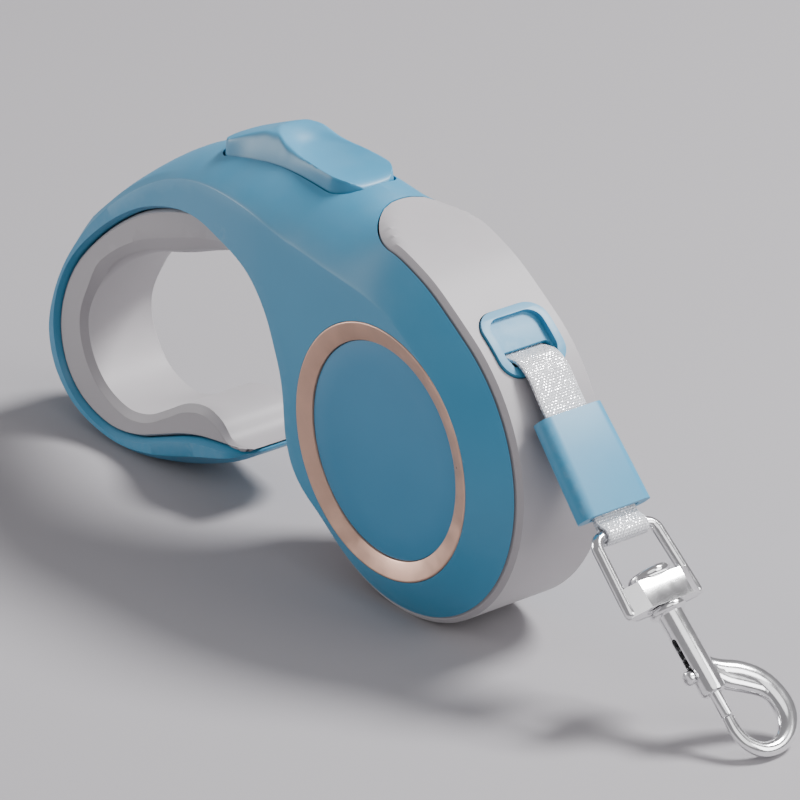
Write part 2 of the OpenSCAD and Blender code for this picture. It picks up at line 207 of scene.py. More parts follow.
def evenly(points: Sequence[Point], spacing: float) -> list[Point]:
    """Space an open run of points evenly.

    Args:
        points: The run.
        spacing: Wanted distance between neighbours.

    Returns:
        The run with both its ends kept.
    """
    lengths = [0.0]
    for a, b in zip(points, points[1:]):
        lengths.append(lengths[-1] + math.dist(a, b))
    count = max(2, round(lengths[-1] / spacing))
    out: list[Point] = []
    j = 0
    for i in range(count + 1):
        want = lengths[-1] * i / count
        while j < len(points) - 2 and lengths[j + 1] < want:
            j += 1
        t = (want - lengths[j]) / max(lengths[j + 1] - lengths[j], 1e-9)
        out.append(tuple(points[j][k] + (points[j + 1][k] - points[j][k]) * t for k in (0, 1)))
    return out


def ease(low: float, high: float, value: float) -> float:
    """Rise smoothly from 0 at low to 1 at high.

    Args:
        low: Value with result 0.
        high: Value with result 1.
        value: Where to read the rise.

    Returns:
        A number from 0 to 1.
    """
    t = min(max((value - low) / (high - low), 0.0), 1.0)
    return t * t * (3 - 2 * t)


def along(points: Sequence[Point], x: float) -> float:
    """Read the height of a run of points at a place along x.

    Args:
        points: A run that x moves one way along.
        x: The place.

    Returns:
        The height there, or the nearer end's.
    """
    run = sorted(points)
    if x <= run[0][0]:
        return run[0][1]
    for a, b in zip(run, run[1:]):
        if x <= b[0]:
            return a[1] + (b[1] - a[1]) * (x - a[0]) / max(b[0] - a[0], 1e-9)
    return run[-1][1]


def inside(point: Point, ring: Sequence[Point]) -> bool:
    """Tell whether a point lies inside a closed ring of points."""
    x, y = point
    found = False
    for a, b in zip(ring, list(ring[1:]) + [ring[0]]):
        if (a[1] > y) != (b[1] > y) and x < (b[0] - a[0]) * (y - a[1]) / (b[1] - a[1]) + a[0]:
            found = not found
    return found


def clear_selection() -> None:
    """Leave edit mode and select nothing."""
    if bpy.context.object and bpy.context.object.mode != "OBJECT":
        bpy.ops.object.mode_set(mode="OBJECT")
    bpy.ops.object.select_all(action="DESELECT")


def only(obj: bpy.types.Object) -> bpy.types.Object:
    """Select one object and make it the active one.

    Args:
        obj: The object.

    Returns:
        The same object.
    """
    clear_selection()
    obj.select_set(True)
    bpy.context.view_layer.objects.active = obj
    return obj


def mesh_object(name: str, verts: Iterable[Vector], faces: Iterable[Sequence[int]]) -> bpy.types.Object:
    """Make an object from points and faces, with its faces turned outwards.

    Args:
        name: The object's name.
        verts: Points in the frame.
        faces: Corner numbers of each face.

    Returns:
        The new object, at the origin.
    """
    mesh = bpy.data.meshes.new(name)
    mesh.from_pydata([tuple(v) for v in verts], [], [tuple(f) for f in faces])
    obj = bpy.data.objects.new(name, mesh)
    bpy.context.scene.collection.objects.link(obj)
    only(obj)
    bpy.ops.object.mode_set(mode="EDIT")
    bpy.ops.mesh.select_all(action="SELECT")
    bpy.ops.mesh.remove_doubles(threshold=1e-6)
    bpy.ops.mesh.normals_make_consistent(inside=False)
    bpy.ops.object.mode_set(mode="OBJECT")
    return obj


def settle(obj: bpy.types.Object, matrix: Matrix) -> bpy.types.Object:
    """Put an object's place into its mesh, so that it stands at the origin.

    Args:
        obj: The object.
        matrix: A further placing, done after the object's own.

    Returns:
        The same object.
    """
    obj.data.transform(matrix @ obj.matrix_world)
    obj.matrix_world = Matrix.Identity(4)
    return obj


def apply_modifier(obj: bpy.types.Object, kind: str, **values: object) -> bpy.types.Object:
    """Add a modifier and apply it.

    Args:
        obj: The object.
        kind: The modifier's type.
        **values: Its settings.

    Returns:
        The same object.
    """
    only(obj)
    modifier = obj.modifiers.new(kind.title(), kind)
    for key, value in values.items():
        setattr(modifier, key, value)
    bpy.ops.object.modifier_apply(modifier=modifier.name)
    return obj


def combine(obj: bpy.types.Object, tool: bpy.types.Object, how: str) -> bpy.types.Object:
    """Cut, join or intersect an object with a tool object, which is used up.

    Args:
        obj: The object that changes.
        tool: The other object.
        how: DIFFERENCE, UNION or INTERSECT.

    Returns:
        The changed object.
    """
    apply_modifier(obj, "BOOLEAN", object=tool, operation=how, solver="EXACT")
    bpy.data.objects.remove(tool, do_unlink=True)
    return obj


def soften(obj: bpy.types.Object, width: float, segments: int, angle: float) -> bpy.types.Object:
    """Bevel an object's sharp edges.

    Args:
        obj: The object.
        width: The bevel's width, in the object's own units.
        segments: Its facets.
        angle: Edges sharper than this, in degrees, are bevelled.

    Returns:
        The same object.
    """
    return apply_modifier(obj, "BEVEL", width=width, segments=segments, limit_method="ANGLE",
                          angle_limit=math.radians(angle))


def copy_of(obj: bpy.types.Object, name: str) -> bpy.types.Object:
    """Copy an object with its own mesh.

    Args:
        obj: The object.
        name: The copy's name.

    Returns:
        The copy.
    """
    new = obj.copy()
    new.data = obj.data.copy()
    new.name = name
    bpy.context.scene.collection.objects.link(new)
    return new


def smooth(obj: bpy.types.Object, angle: float = 32.0) -> bpy.types.Object:
    """Shade an object smooth up to an angle.

    Args:
        obj: The object.
        angle: Edges sharper than this, in degrees, stay sharp.

    Returns:
        The same object.
    """
    only(obj)
    bpy.ops.object.shade_smooth_by_angle(angle=math.radians(angle))
    return obj


def round_box(name: str, size: tuple[float, float, float], corner: float,
              axis: int = 0) -> bpy.types.Object:
    """Model a box, in millimetres, with four rounded long edges.

    Args:
        name: The object's name.
        size: Its sizes along x, y and z.
        corner: Radius of the four edges that run along the axis.
        axis: The axis that the rounded edges run along.

    Returns:
        The box, about the world's origin.
    """
    clear_selection()
    bpy.ops.mesh.primitive_cube_add(size=1)
    obj = bpy.context.object
    obj.name = name
    obj.scale = size
    bpy.ops.object.transform_apply(location=False, rotation=False, scale=True)
    bpy.ops.object.mode_set(mode="EDIT")
    bpy.ops.mesh.select_all(action="DESELECT")
    bpy.ops.object.mode_set(mode="OBJECT")
    for edge in obj.data.edges:
        a, b = (obj.data.vertices[i].co for i in edge.vertices)
        edge.select = abs(a[axis] - b[axis]) > 1e-6
    bpy.ops.object.mode_set(mode="EDIT")
    bpy.ops.mesh.select_mode(type="EDGE")
    bpy.ops.mesh.bevel(offset=corner, segments=8, affect="EDGES")
    bpy.ops.object.mode_set(mode="OBJECT")
    return obj


def lathe(name: str, profile: Sequence[Point], steps: int = 48) -> bpy.types.Object:
    """Spin a profile into a turned piece about the x axis.

    Args:
        name: The object's name.
        profile: Points as (distance along x, radius), in millimetres.
        steps: Facets round the axis.

    Returns:
        The piece, in millimetres about the world's origin.
    """
    mesh = bpy.data.meshes.new(name)
    mesh.from_pydata([(x, 0, r) for x, r in profile], [(i, i + 1) for i in range(len(profile) - 1)], [])
    obj = bpy.data.objects.new(name, mesh)
    bpy.context.scene.collection.objects.link(obj)
    only(obj)
    bpy.ops.object.mode_set(mode="EDIT")
    bpy.ops.mesh.select_all(action="SELECT")
    bpy.ops.mesh.spin(steps=steps, angle=2 * math.pi, center=(0, 0, 0), axis=(1, 0, 0))
    bpy.ops.mesh.select_all(action="SELECT")
    bpy.ops.mesh.remove_doubles(threshold=1e-4)
    bpy.ops.mesh.normals_make_consistent(inside=False)
    bpy.ops.object.mode_set(mode="OBJECT")
    return obj


def rod(name: str, x0: float, x1: float, radius: float, steps: int) -> bpy.types.Object:
    """Turn a plain rod about the x axis.

    Args:
        name: The object's name.
        x0: Where it starts.
        x1: Where it ends.
        radius: Its radius.
        steps: Facets round it.

    Returns:
        The rod, in millimetres about the world's origin.
    """
    return lathe(name, [(x0, 0), (x0, radius), (x1, radius), (x1, 0)], steps)


def prism_faces(size: int) -> list[tuple[int, ...]]:
    """List the faces of a prism whose two ends have their corners numbered one after the other.

    Args:
        size: Corners of each end.

    Returns:
        Corner numbers of each face.
    """
    ends: list[tuple[int, ...]] = [tuple(range(size)), tuple(range(2 * size - 1, size - 1, -1))]
    return ends + [(i, (i + 1) % size, (i + 1) % size + size, i + size) for i in range(size)]


def tube(name: str, path: Sequence[Vector], radius: Callable[[float], float], sides: int = 20,
         round_ends: bool = True) -> bpy.types.Object:
    """Sweep a round section along a path.

    Args:
        name: The object's name.
        path: Centre points, in millimetres.
        radius: Gives the radius at a share of the way along.
        sides: Corners of the section.
        round_ends: Whether the ends close in a dome.

    Returns:
        The tube, in millimetres.
    """
    verts: list[Vector] = []
    faces: list[tuple[int, ...]] = []
    count = len(path)
    side = Vector((0.0, 0.0, 1.0))
    rings: list[tuple[Vector, Vector, float]] = []
    for i, centre in enumerate(path):
        way = (path[min(i + 1, count - 1)] - path[max(i - 1, 0)]).normalized()
        rings.append((centre, way, radius(i / (count - 1))))
    if round_ends:
        dome = [(math.cos(math.radians(a)), math.sin(math.radians(a))) for a in (80, 60, 40, 20)]
        first, last = rings[0], rings[-1]
        head = [(first[0] - first[1] * first[2] * s, first[1], first[2] * c) for c, s in dome]
        tail = [(last[0] + last[1] * last[2] * s, last[1], last[2] * c) for c, s in reversed(dome)]
        rings = head + rings + tail
    for centre, way, size in rings:
        across = (side - way * side.dot(way)).normalized()
        side = across
        other = way.cross(across)
        for k in range(sides):
            a = 2 * math.pi * k / sides
            verts.append(centre + (across * math.cos(a) + other * math.sin(a)) * size)
    for i in range(len(rings) - 1):
        for k in range(sides):
            a, b = i * sides + k, i * sides + (k + 1) % sides
            faces.append((a, b, b + sides, a + sides))
    faces.append(tuple(range(sides - 1, -1, -1)))
    faces.append(tuple(range((len(rings) - 1) * sides, len(rings) * sides)))
    return mesh_object(name, verts, faces)


SCALE_MM = Matrix.Scale(MM, 4)


def exit_matrix() -> Matrix:
    """Place something built in millimetres at the tape exit: x outwards, z up the drum."""
    turn = Matrix.Rotation(-EXIT_ANGLE, 4, "Y")
    return Matrix.Translation(DRUM) @ SCALE_MM @ turn @ Matrix.Translation((DRUM_R, 0, 0))


def sleeve_matrix() -> Matrix:
    """Place something built in millimetres at the sleeve's middle: x down the tape."""
    spot = Matrix.Translation((SLEEVE_AT[0], 0, SLEEVE_AT[1]))
    return Matrix.Translation(DRUM) @ SCALE_MM @ spot @ Matrix.Rotation(SLEEVE_TILT, 4, "Y")


def hook_matrix() -> Matrix:
    """Place something built in millimetres at the eye's bar: x down the hook."""
    spot = Matrix.Translation((BAR_AT[0], 0, BAR_AT[1]))
    return Matrix.Translation(DRUM) @ SCALE_MM @ spot @ Matrix.Rotation(HOOK_TILT, 4, "Y")


def report(obj: bpy.types.Object, body: str, *nodes: str, slot: str) -> bpy.types.Object:
    """Ride a finished piece on its body, in place of its nodes, and log it.

    Args:
        obj: The piece.
        body: The body it moves with.
        *nodes: The CAD nodes it stands for.
        slot: Not used.

    Returns:
        The same piece.
    """
    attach(obj, body)
    if nodes:
        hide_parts(*nodes)
    LOG.info("%s rides on %s with %d faces", obj.name, body, len(obj.data.polygons))
    return obj


# ---------------------------------------------------------------- finishes


class Shader:
    """A small builder for one shader node tree."""

    def __init__(self, tree: bpy.types.NodeTree) -> None:
        """Start in a tree.

        Args:
            tree: The tree that nodes are added to.
        """
        self.tree = tree

    def node(self, kind: str, links: dict[str, object] | None = None, **settings: object) -> bpy.types.Node:
        """Add a node.

        Args:
            kind: The node's type without its ShaderNode prefix.
            links: Input names or numbers, each with a value or a socket to join.
            **settings: The node's own properties.

        Returns:
            The new node.
        """
        node = self.tree.nodes.new("ShaderNode" + kind)
        for key, value in settings.items():
            setattr(node, key, value)
        self.join(node, links or {})
        return node

    def join(self, node: bpy.types.Node, links: dict[str, object]) -> None:
        """Set a node's inputs, or join sockets to them.

        Args:
            node: The node.
            links: Input names or numbers, each with a value or a socket to join.
        """
        for key, value in links.items():
            socket = node.inputs[int(key)] if key.isdigit() else node.inputs[key]
            if isinstance(value, bpy.types.NodeSocket):
                self.tree.links.new(value, socket)
            else:
                socket.default_value = value

    def group(self, tree: bpy.types.NodeTree, vector: bpy.types.NodeSocket) -> bpy.types.Node:
        """Add a node group that reads a vector.

        Args:
            tree: The group's own tree.
            vector: The socket that it reads.

        Returns:
            The group's node.
        """
        group = self.tree.nodes.new("ShaderNodeGroup")
        group.node_tree = tree
        self.join(group, {"Vector": vector})
        return group

    def math(self, how: str, a: object, b: object = 0.0, c: object = 0.0) -> bpy.types.NodeSocket:
        """Add a math node.

        Args:
            how: The operation.
            a: First value or socket.
            b: Second value or socket.
            c: Third value or socket.

        Returns:
            The result's socket.
        """
        return self.node("Math", {"0": a, "1": b, "2": c}, operation=how).outputs[0]

    def mix(self, share: object, a: object, b: object) -> bpy.types.NodeSocket:
        """Mix two colours.

        Args:
            share: How much of the second, a value or a socket.
            a: First colour or socket.
            b: Second colour or socket.

        Returns:
            The mixed colour's socket.
        """
        return self.node("Mix", {"0": share, "6": a, "7": b}, data_type="RGBA").outputs[2]

    def range(self, value: object, low: float, high: float, to_low: float = 0.0,
              to_high: float = 1.0) -> bpy.types.NodeSocket:
        """Map a value from one range to another, held at its ends.

        Args:
            value: The value's socket.
            low: Start of the range read.
            high: End of the range read.
            to_low: Result at the start.
            to_high: Result at the end.

        Returns:
            The result's socket.
        """
        links = {"0": value, "1": low, "2": high, "3": to_low, "4": to_high}
        return self.node("MapRange", links).outputs[0]


def new_group(name: str, inputs: dict[str, object],
              outputs: dict[str, str]) -> tuple[Shader, bpy.types.Node, bpy.types.Node]:
    """Start a shader node group with named sockets.

    Args:
        name: The group's name.
        inputs: Input names with their starting values, a number or None for a vector.
        outputs: Output names with Float or Color.

    Returns:
        A builder in the group, its input node and its output node.
    """
    tree = bpy.data.node_groups.new(name, "ShaderNodeTree")
    for key, value in inputs.items():
        kind = "NodeSocketVector" if value is None else "NodeSocketFloat"
        socket = tree.interface.new_socket(name=key, in_out="INPUT", socket_type=kind)
        if value is not None:
            socket.default_value = value
    for key, kind in outputs.items():
        tree.interface.new_socket(name=key, in_out="OUTPUT", socket_type="NodeSocket" + kind)
    return Shader(tree), tree.nodes.new("NodeGroupInput"), tree.nodes.new("NodeGroupOutput")


def skin_group() -> bpy.types.NodeTree:
    """Build the group for moulded skins: fine grain, slow mottle and a rub mask on edges.

    Returns:
        The node group.
    """
    sh, start, end = new_group("moulded_skin", {"Vector": None, "Grain": 2600.0, "Mottle": 38.0},
                               {"Height": "Float", "Cloud": "Float", "Rub": "Float", "Dust": "Float"})
    grain = sh.node("TexNoise", {"Vector": start.outputs["Vector"], "Scale": start.outputs["Grain"],
                                 "Detail": 2.0, "Roughness": 0.6})
    cloud = sh.node("TexNoise", {"Vector": start.outputs["Vector"], "Scale": start.outputs["Mottle"],
                                 "Detail": 4.0, "Roughness": 0.55})
    point = sh.node("NewGeometry").outputs["Pointiness"]
    broken = sh.node("TexNoise", {"Vector": start.outputs["Vector"], "Scale": 420.0, "Detail": 3.0})
    edge = sh.range(point, 0.53, 0.6)
    rub = sh.math("MULTIPLY", edge, sh.range(broken.outputs[0], 0.42, 0.62))
    up = sh.node("SeparateXYZ", {"0": sh.node("NewGeometry").outputs["Normal"]}).outputs[2]
    level = sh.range(up, 0.2, 1.0)
    dust = sh.math("MULTIPLY", level, sh.range(cloud.outputs[0], 0.4, 0.75))
    sh.join(end, {"Height": grain.outputs[0], "Cloud": cloud.outputs[0], "Rub": rub, "Dust": dust})
    return sh.tree


def weave_group() -> bpy.types.NodeTree:
    """Build the group for a plain weave on a piece's own UV map.

    Returns:
        The node group.
    """
    sh, start, end = new_group("tape_weave", {"Vector": None, "Weft": 20.0, "Warp": 26.0},
                               {"Height": "Float", "Spark": "Float"})
    uv = sh.node("SeparateXYZ", {"0": start.outputs["Vector"]})
    weft = sh.math("MULTIPLY", start.outputs["Weft"], math.pi)
    along_t = sh.math("SINE", sh.math("MULTIPLY", uv.outputs[0], weft))
    warp = sh.math("MULTIPLY", start.outputs["Warp"], math.pi)
    cross_t = sh.math("SINE", sh.math("MULTIPLY", uv.outputs[1], warp))
    over = sh.math("GREATER_THAN", sh.math("MULTIPLY", along_t, cross_t), 0.0)
    rise_a = sh.math("ABSOLUTE", along_t)
    rise_b = sh.math("ABSOLUTE", cross_t)
    height = sh.math("ADD", sh.math("MULTIPLY", rise_a, over),
                     sh.math("MULTIPLY", rise_b, sh.math("SUBTRACT", 1.0, over)))
    cells = sh.node("TexVoronoi", {"Vector": start.outputs["Vector"], "Scale": 62.0})
    value = sh.node("SeparateColor", {"0": cells.outputs["Color"]})
    spark = sh.range(value.outputs[0], 0.78, 0.82)
    sh.join(end, {"Height": height, "Spark": spark})
    return sh.tree


def new_material(name: str) -> tuple[bpy.types.Material, Shader, bpy.types.Node]:
    """Start a material.

    Args:
        name: The material's name.

    Returns:
        The material, a builder in it and its surface node.
    """
    mat = bpy.data.materials.new(name)
    mat.use_nodes = True
    return mat, Shader(mat.node_tree), mat.node_tree.nodes["Principled BSDF"]


def toward(color: Sequence[float], level: float, share: float) -> tuple[float, ...]:
    """Move a colour toward a grey.

    Args:
        color: The colour.
        level: The grey's level.
        share: How far it moves.

    Returns:
        The new colour, with its alpha.
    """
    return tuple(c + (level - c) * share for c in color) + (1.0,)


class Coating(Enum):
    """How a piece's surface was finished in the factory."""

    SATIN = "satin"
    SOFT_TOUCH = "soft touch"


@dataclass(frozen=True)
class Moulded:
    """Moulded plastic or rubber, with grain, mottle, rubbed edges and a little dust.

    Attributes:
        name: The material's name.
        color: Its base colour.
        coating: Its surface.
        roughness: Roughness between its polished and dull patches.
        grain: Grain height in metres.
    """

    name: str
    color: tuple[float, float, float]
    coating: Coating = Coating.SATIN
    roughness: float = 0.42
    grain: float = 0.000012

    def make(self, skin: bpy.types.NodeTree) -> bpy.types.Material:
        """Build the material.

        Args:
            skin: The moulded skin group.

        Returns:
            The material.
        """
        mat, sh, bsdf = new_material(self.name)
        group = sh.group(skin, sh.node("TexCoord").outputs["Object"])
        base = (*self.color, 1.0)
        light = tuple(min(c * 1.04 + 0.003, 1.0) for c in self.color) + (1.0,)
        worn, dusty = toward(self.color, 0.8, 0.28), toward(self.color, 0.72, 0.07)
        cloud = sh.range(group.outputs["Cloud"], 0.35, 0.7)
        color = sh.mix(cloud, base, light)
        color = sh.mix(group.outputs["Dust"], color, dusty)
        color = sh.mix(sh.math("MULTIPLY", group.outputs["Rub"], 0.18), color, worn)
        rough = sh.range(group.outputs["Cloud"], 0.3, 0.72, self.roughness - 0.04, self.roughness + 0.06)
        bump = sh.node("Bump", {"Strength": 0.35, "Distance": self.grain, "Height": group.outputs["Height"]})
        sh.join(bsdf, {"Base Color": color, "Roughness": rough, "Normal": bump.outputs[0]})
        if self.coating is Coating.SOFT_TOUCH:
            sh.join(bsdf, {"Sheen Weight": 0.18, "Sheen Roughness": 0.5, "Specular IOR Level": 0.38})
        else:
            sh.join(bsdf, {"Coat Weight": 0.06, "Coat Roughness": 0.3, "Specular IOR Level": 0.5})
        return mat


@dataclass(frozen=True)
class Metal:
    """Bare, plated or anodised metal with hairline marks and smudges.

    Attributes:
        name: The material's name.
        color: Its base colour.
        roughness: Its mean roughness.
        marks: Height of its hairline marks in metres.
        metallic: Share of metal, below 1 for a metallic paint.
    """

    name: str
    color: tuple[float, float, float]
    roughness: float = 0.2
    marks: float = 0.000004
    metallic: float = 1.0

    def make(self, skin: bpy.types.NodeTree) -> bpy.types.Material:
        """Build the material.

        Args:
            skin: The moulded skin group, used for its cloud mask.

        Returns:
            The material.
        """
        mat, sh, bsdf = new_material(self.name)
        coords = sh.node("TexCoord").outputs["Object"]
        group = sh.group(skin, coords)
        sh.join(group, {"Mottle": 160.0})
        stretched = sh.node("Mapping", {"Vector": coords, "Scale": (900.0, 90.0, 5200.0)})
        hair = sh.node("TexNoise", {"Vector": stretched.outputs[0], "Scale": 1.0, "Detail": 3.0})
        dark = tuple(c * 0.86 for c in self.color) + (1.0,)
        color = sh.mix(sh.range(group.outputs["Cloud"], 0.35, 0.7), dark, (*self.color, 1.0))
        rough = sh.range(group.outputs["Cloud"], 0.3, 0.7, self.roughness * 0.75, self.roughness * 1.35)
        bump = sh.node("Bump", {"Strength": 0.5, "Distance": self.marks, "Height": hair.outputs[0]})
        sh.join(bsdf, {"Base Color": color, "Roughness": rough, "Normal": bump.outputs[0],
                       "Metallic": self.metallic})
        return mat


@dataclass(frozen=True)
class GlitterTape:
    """Woven tape with bright threads and metallic flecks.

    Attributes:
        name: The material's name.
        thread: Colour of the threads on top.
        shade: Colour of the painted shade in the weave's low hollows, between the thread crowns.
        fleck: Colour of the metallic flecks.
    """

    name: str
    thread: tuple[float, float, float] = (0.74, 0.75, 0.78)
    shade: tuple[float, float, float] = (0.42, 0.43, 0.46)
    fleck: tuple[float, float, float] = (0.97, 0.97, 1.0)

    def make(self, weave: bpy.types.NodeTree) -> bpy.types.Material:
        """Build the material.

        Args:
            weave: The weave group.

        Returns:
            The material.
        """
        mat, sh, bsdf = new_material(self.name)
        group = sh.group(weave, sh.node("UVMap", uv_map="UVMap").outputs[0])
        # Painted shade: the weave's low points darken toward the shade colour, and its crowns keep the thread
        # colour.
        lift = sh.range(group.outputs["Height"], 0.1, 0.9)
        color = sh.mix(lift, (*self.shade, 1.0), (*self.thread, 1.0))
        color = sh.mix(group.outputs["Spark"], color, (*self.fleck, 1.0))
        rough = sh.range(group.outputs["Spark"], 0.0, 1.0, 0.55, 0.16)
        metal = sh.math("MULTIPLY", group.outputs["Spark"], 0.8)
        bump = sh.node("Bump", {"Strength": 0.8, "Distance": 0.00012, "Height": group.outputs["Height"]})
        sh.join(bsdf, {"Base Color": color, "Roughness": rough, "Metallic": metal,
                       "Normal": bump.outputs[0], "Sheen Weight": 0.2})
        return mat


class Finishes:
    """Every finish of the leash, built once."""

    def __init__(self) -> None:
        """Build the groups and the materials."""
        skin = skin_group()
        weave = weave_group()
        self.blue = Moulded("blue_satin_plastic", (0.045, 0.25, 0.42), Coating.SATIN, 0.44).make(skin)
        self.disc = Moulded("blue_disc_plastic", (0.035, 0.22, 0.39), Coating.SATIN, 0.4).make(skin)
        self.grey = Moulded(
            "grey_soft_rubber", (0.37, 0.35, 0.365), Coating.SOFT_TOUCH, 0.5, 0.00002).make(skin)
        self.black = Moulded("black_nylon", (0.03, 0.03, 0.034), Coating.SATIN, 0.5).make(skin)
        self.copper = Metal("rose_copper_trim", (0.72, 0.45, 0.34), 0.36, 0.000006, 0.6).make(skin)
        self.chrome = Metal("polished_chrome", (0.94, 0.94, 0.95), 0.14, 0.000002).make(skin)
        self.steel = Metal("drawn_steel", (0.56, 0.56, 0.57), 0.32).make(skin)
        self.tape = GlitterTape("glitter_tape").make(weave)


def dress(obj: bpy.types.Object, material: bpy.types.Material) -> bpy.types.Object:
    """Give an object one material.

    Args:
        obj: The object.
        material: The material.

    Returns:
        The same object.
    """
    obj.data.materials.clear()
    obj.data.materials.append(material)
    for face in obj.data.polygons:
        face.material_index = 0
    return obj


# ---------------------------------------------------------------- housing


def inward(outline: list[Point]) -> list[Point]:
    """Find the softened inward direction at each point of a closed outline.

    Args:
        outline: The outline.

    Returns:
        One unit direction for each point.
    """
    count = len(outline)
    area = sum(a[0] * b[1] - b[0] * a[1] for a, b in zip(outline, outline[1:] + outline[:1]))
    turn = 1.0 if area > 0 else -1.0
    raw: list[Point] = []
    for i in range(count):
        a, b = outline[i - 1], outline[(i + 1) % count]
        size = math.dist(a, b) or 1.0
        raw.append((-(b[1] - a[1]) / size * turn, (b[0] - a[0]) / size * turn))
    out: list[Point] = []
    for i in range(count):
        near = [raw[(i + k) % count] for k in (-2, -1, 0, 1, 2)]
        x, z = sum(n[0] for n in near), sum(n[1] for n in near)
        size = math.hypot(x, z) or 1.0
        out.append((x / size, z / size))
    return out


@dataclass
class Pillow:
    """A closed body whose side view is an outline and whose edges follow a section.

    Attributes:
        name: The object's name.
        outline: Closed side view.
        insets: How far in the side face starts at each outline point.
        shapes: Where the edge starts to turn in, its power and its roundness at each outline point.
        side: Gives the half width of the side face at a place in the side view.
        shares: Shares of the half width that the edge's rows lie at.
        lattice: Spacing of the side face's inner points.
        fillet_steps: Rows of the fillet between the edge and the side face.
        fillet_end: Share of the inset where that fillet ends.
    """

    name: str
    outline: list[Point]
    insets: list[float]
    shapes: list[tuple[float, float, float]]
    side: Callable[[float, float], float]
    shares: tuple[float, ...] = (0, 0.15, 0.3, 0.42, 0.5, 0.57, 0.62, 0.66, 0.7, 0.76, 0.82, 0.86)
    lattice: float = 2.6
    fillet_steps: int = 8
    fillet_end: float = 1.04

    @staticmethod
    def turned(share: float, shape: tuple[float, float, float]) -> float:
        """Give the share of the inset reached at a share of the half width.

        Args:
            share: Share of the half width.
            shape: Where the edge starts to turn in, its power and its roundness.

        Returns:
            A number from 0 to 1.
        """
        start, power, roundness = shape
        t = max(share - start, 0.0) / (1 - start)
        return (1 - roundness) * t ** power + roundness * (1 - math.sqrt(max(1 - t * t, 0.0)))

    def rows(self, index: int) -> list[Point]:
        """Give the edge's rows at one outline point, ending in a small fillet to the side face.

        Args:
            index: The outline point.

        Returns:
            Rows as (share of the half width, share of the inset).
        """
        shape = self.shapes[index]
        out = [(share, self.turned(share, shape)) for share in self.shares]
        start = out[-1]
        for k in range(1, self.fillet_steps + 1):
            u = k / self.fillet_steps
            share = (1 - u) ** 2 * start[0] + 2 * u * (1 - u) + u * u
            inset = (1 - u) ** 2 * start[1] + 2 * u * (1 - u) + u * u * self.fillet_end
            out.append((share, inset))
        return out

    def cap(self, rim: list[Point]) -> tuple[list[Point], list[tuple[int, ...]]]:
        """Fill the side face inside its rim.

        Args:
            rim: The rim's points, in order.

        Returns:
            The face's points, the rim first, and its triangles.
        """
        xs, zs = [p[0] for p in rim], [p[1] for p in rim]
        extra: list[Point] = []
        rows = int((max(zs) - min(zs)) / self.lattice) + 1
        cols = int((max(xs) - min(xs)) / self.lattice) + 1
        for row in range(rows):
            for col in range(cols):
                spot = (min(xs) + (col + 0.5 * (row % 2)) * self.lattice, min(zs) + row * self.lattice)
                if inside(spot, rim) and min(math.dist(spot, p) for p in rim) > self.lattice * 0.6:
                    extra.append(spot)
        points = rim + extra
        edges = [(i, (i + 1) % len(rim)) for i in range(len(rim))]
        result = delaunay_2d_cdt([Vector(p) for p in points], edges, [], 0, 1e-6)
        found = [tuple(v) for v in result[0]]
        triangles = []
        for face in result[2]:
            middle = (sum(found[i][0] for i in face) / 3, sum(found[i][1] for i in face) / 3)
            if inside(middle, rim):
                triangles.append(tuple(face))
        return found, triangles

    def build(self) -> bpy.types.Object:
        """Build the body.

        Returns:
            The closed body.
        """
        count = len(self.outline)
        normals = inward(self.outline)
        rows = [self.rows(i) for i in range(count)]
        depth = len(rows[0])
        rim = [(p[0] + n[0] * inset * self.fillet_end, p[1] + n[1] * inset * self.fillet_end)
               for p, n, inset in zip(self.outline, normals, self.insets)]
        halves = [self.side(x, z) for x, z in rim]
        verts: list[Vector] = []
        faces: list[tuple[int, ...]] = []
        points, triangles = self.cap(rim)
        for hand in (-1, 1):
            base = len(verts)
            for k in range(depth):
                for i, (x, z) in enumerate(self.outline):
                    share, part = rows[i][k]
                    inset = self.insets[i] * part
                    verts.append(place(x + normals[i][0] * inset, hand * share * halves[i],
                                       z + normals[i][1] * inset))
            for k in range(depth - 1):
                for i in range(count):
                    j = (i + 1) % count
                    a, b = base + k * count + i, base + k * count + j
                    faces.append((a, b, b + count, a + count))
            start = len(verts)
            for x, z in points:
                verts.append(place(x, hand * self.side(x, z), z))
            faces += [tuple(start + i for i in face) for face in triangles]
        return mesh_object(self.name, verts, faces)


def averaged(values: Sequence[float], reach: int) -> list[float]:
    """Smooth a closed run of values.

    Args:
        values: The values.
        reach: How many neighbours on each side count.

    Returns:
        The averages.
    """
    count, near = len(values), range(-reach, reach + 1)
    return [sum(values[(i + k) % count] for k in near) / len(near) for i in range(count)]


def thickness(outline: list[Point], normals: list[Point]) -> list[float]:
    """Measure how thick a closed outline is at each of its points.

    Args:
        outline: The closed outline.
        normals: Its inward directions.

    Returns:
        The distance from each point to the nearest one that faces it.
    """
    out: list[float] = []
    for p, n in zip(outline, normals):
        facing = [math.dist(p, q) for q, m in zip(outline, normals) if n[0] * m[0] + n[1] * m[1] < FACING]
        out.append(min(facing))
    return out


def button_half(x: float) -> float:
    """Give the button's half width in plan, with its small rear and wide front corners.

    Args:
        x: Place along the button.

    Returns:
        The half width.
    """
    rear, front = 4.5, 8.0
    behind = min(max(BUTTON_X[0] + rear - x, 0.0) / rear, 1.0)
    ahead = min(max(x - (BUTTON_X[1] - front), 0.0) / front, 1.0)
    return BUTTON_W / 2 - rear * (1 - math.sqrt(1 - behind ** 2)) - front * (1 - math.sqrt(1 - ahead ** 2))


def drum_disc(radius: float, y0: float, y1: float) -> bpy.types.Object:
    """Build a plain round block about the drum's axis.

    Args:
        radius: Its radius.
        y0: Where it starts across the housing.
        y1: Where it ends.

    Returns:
        The block.
    """
    across = Matrix.Rotation(math.pi / 2, 4, "Z")
    return settle(rod("drum_disc", y0, y1, radius, 160), Matrix.Translation(DRUM) @ SCALE_MM @ across)


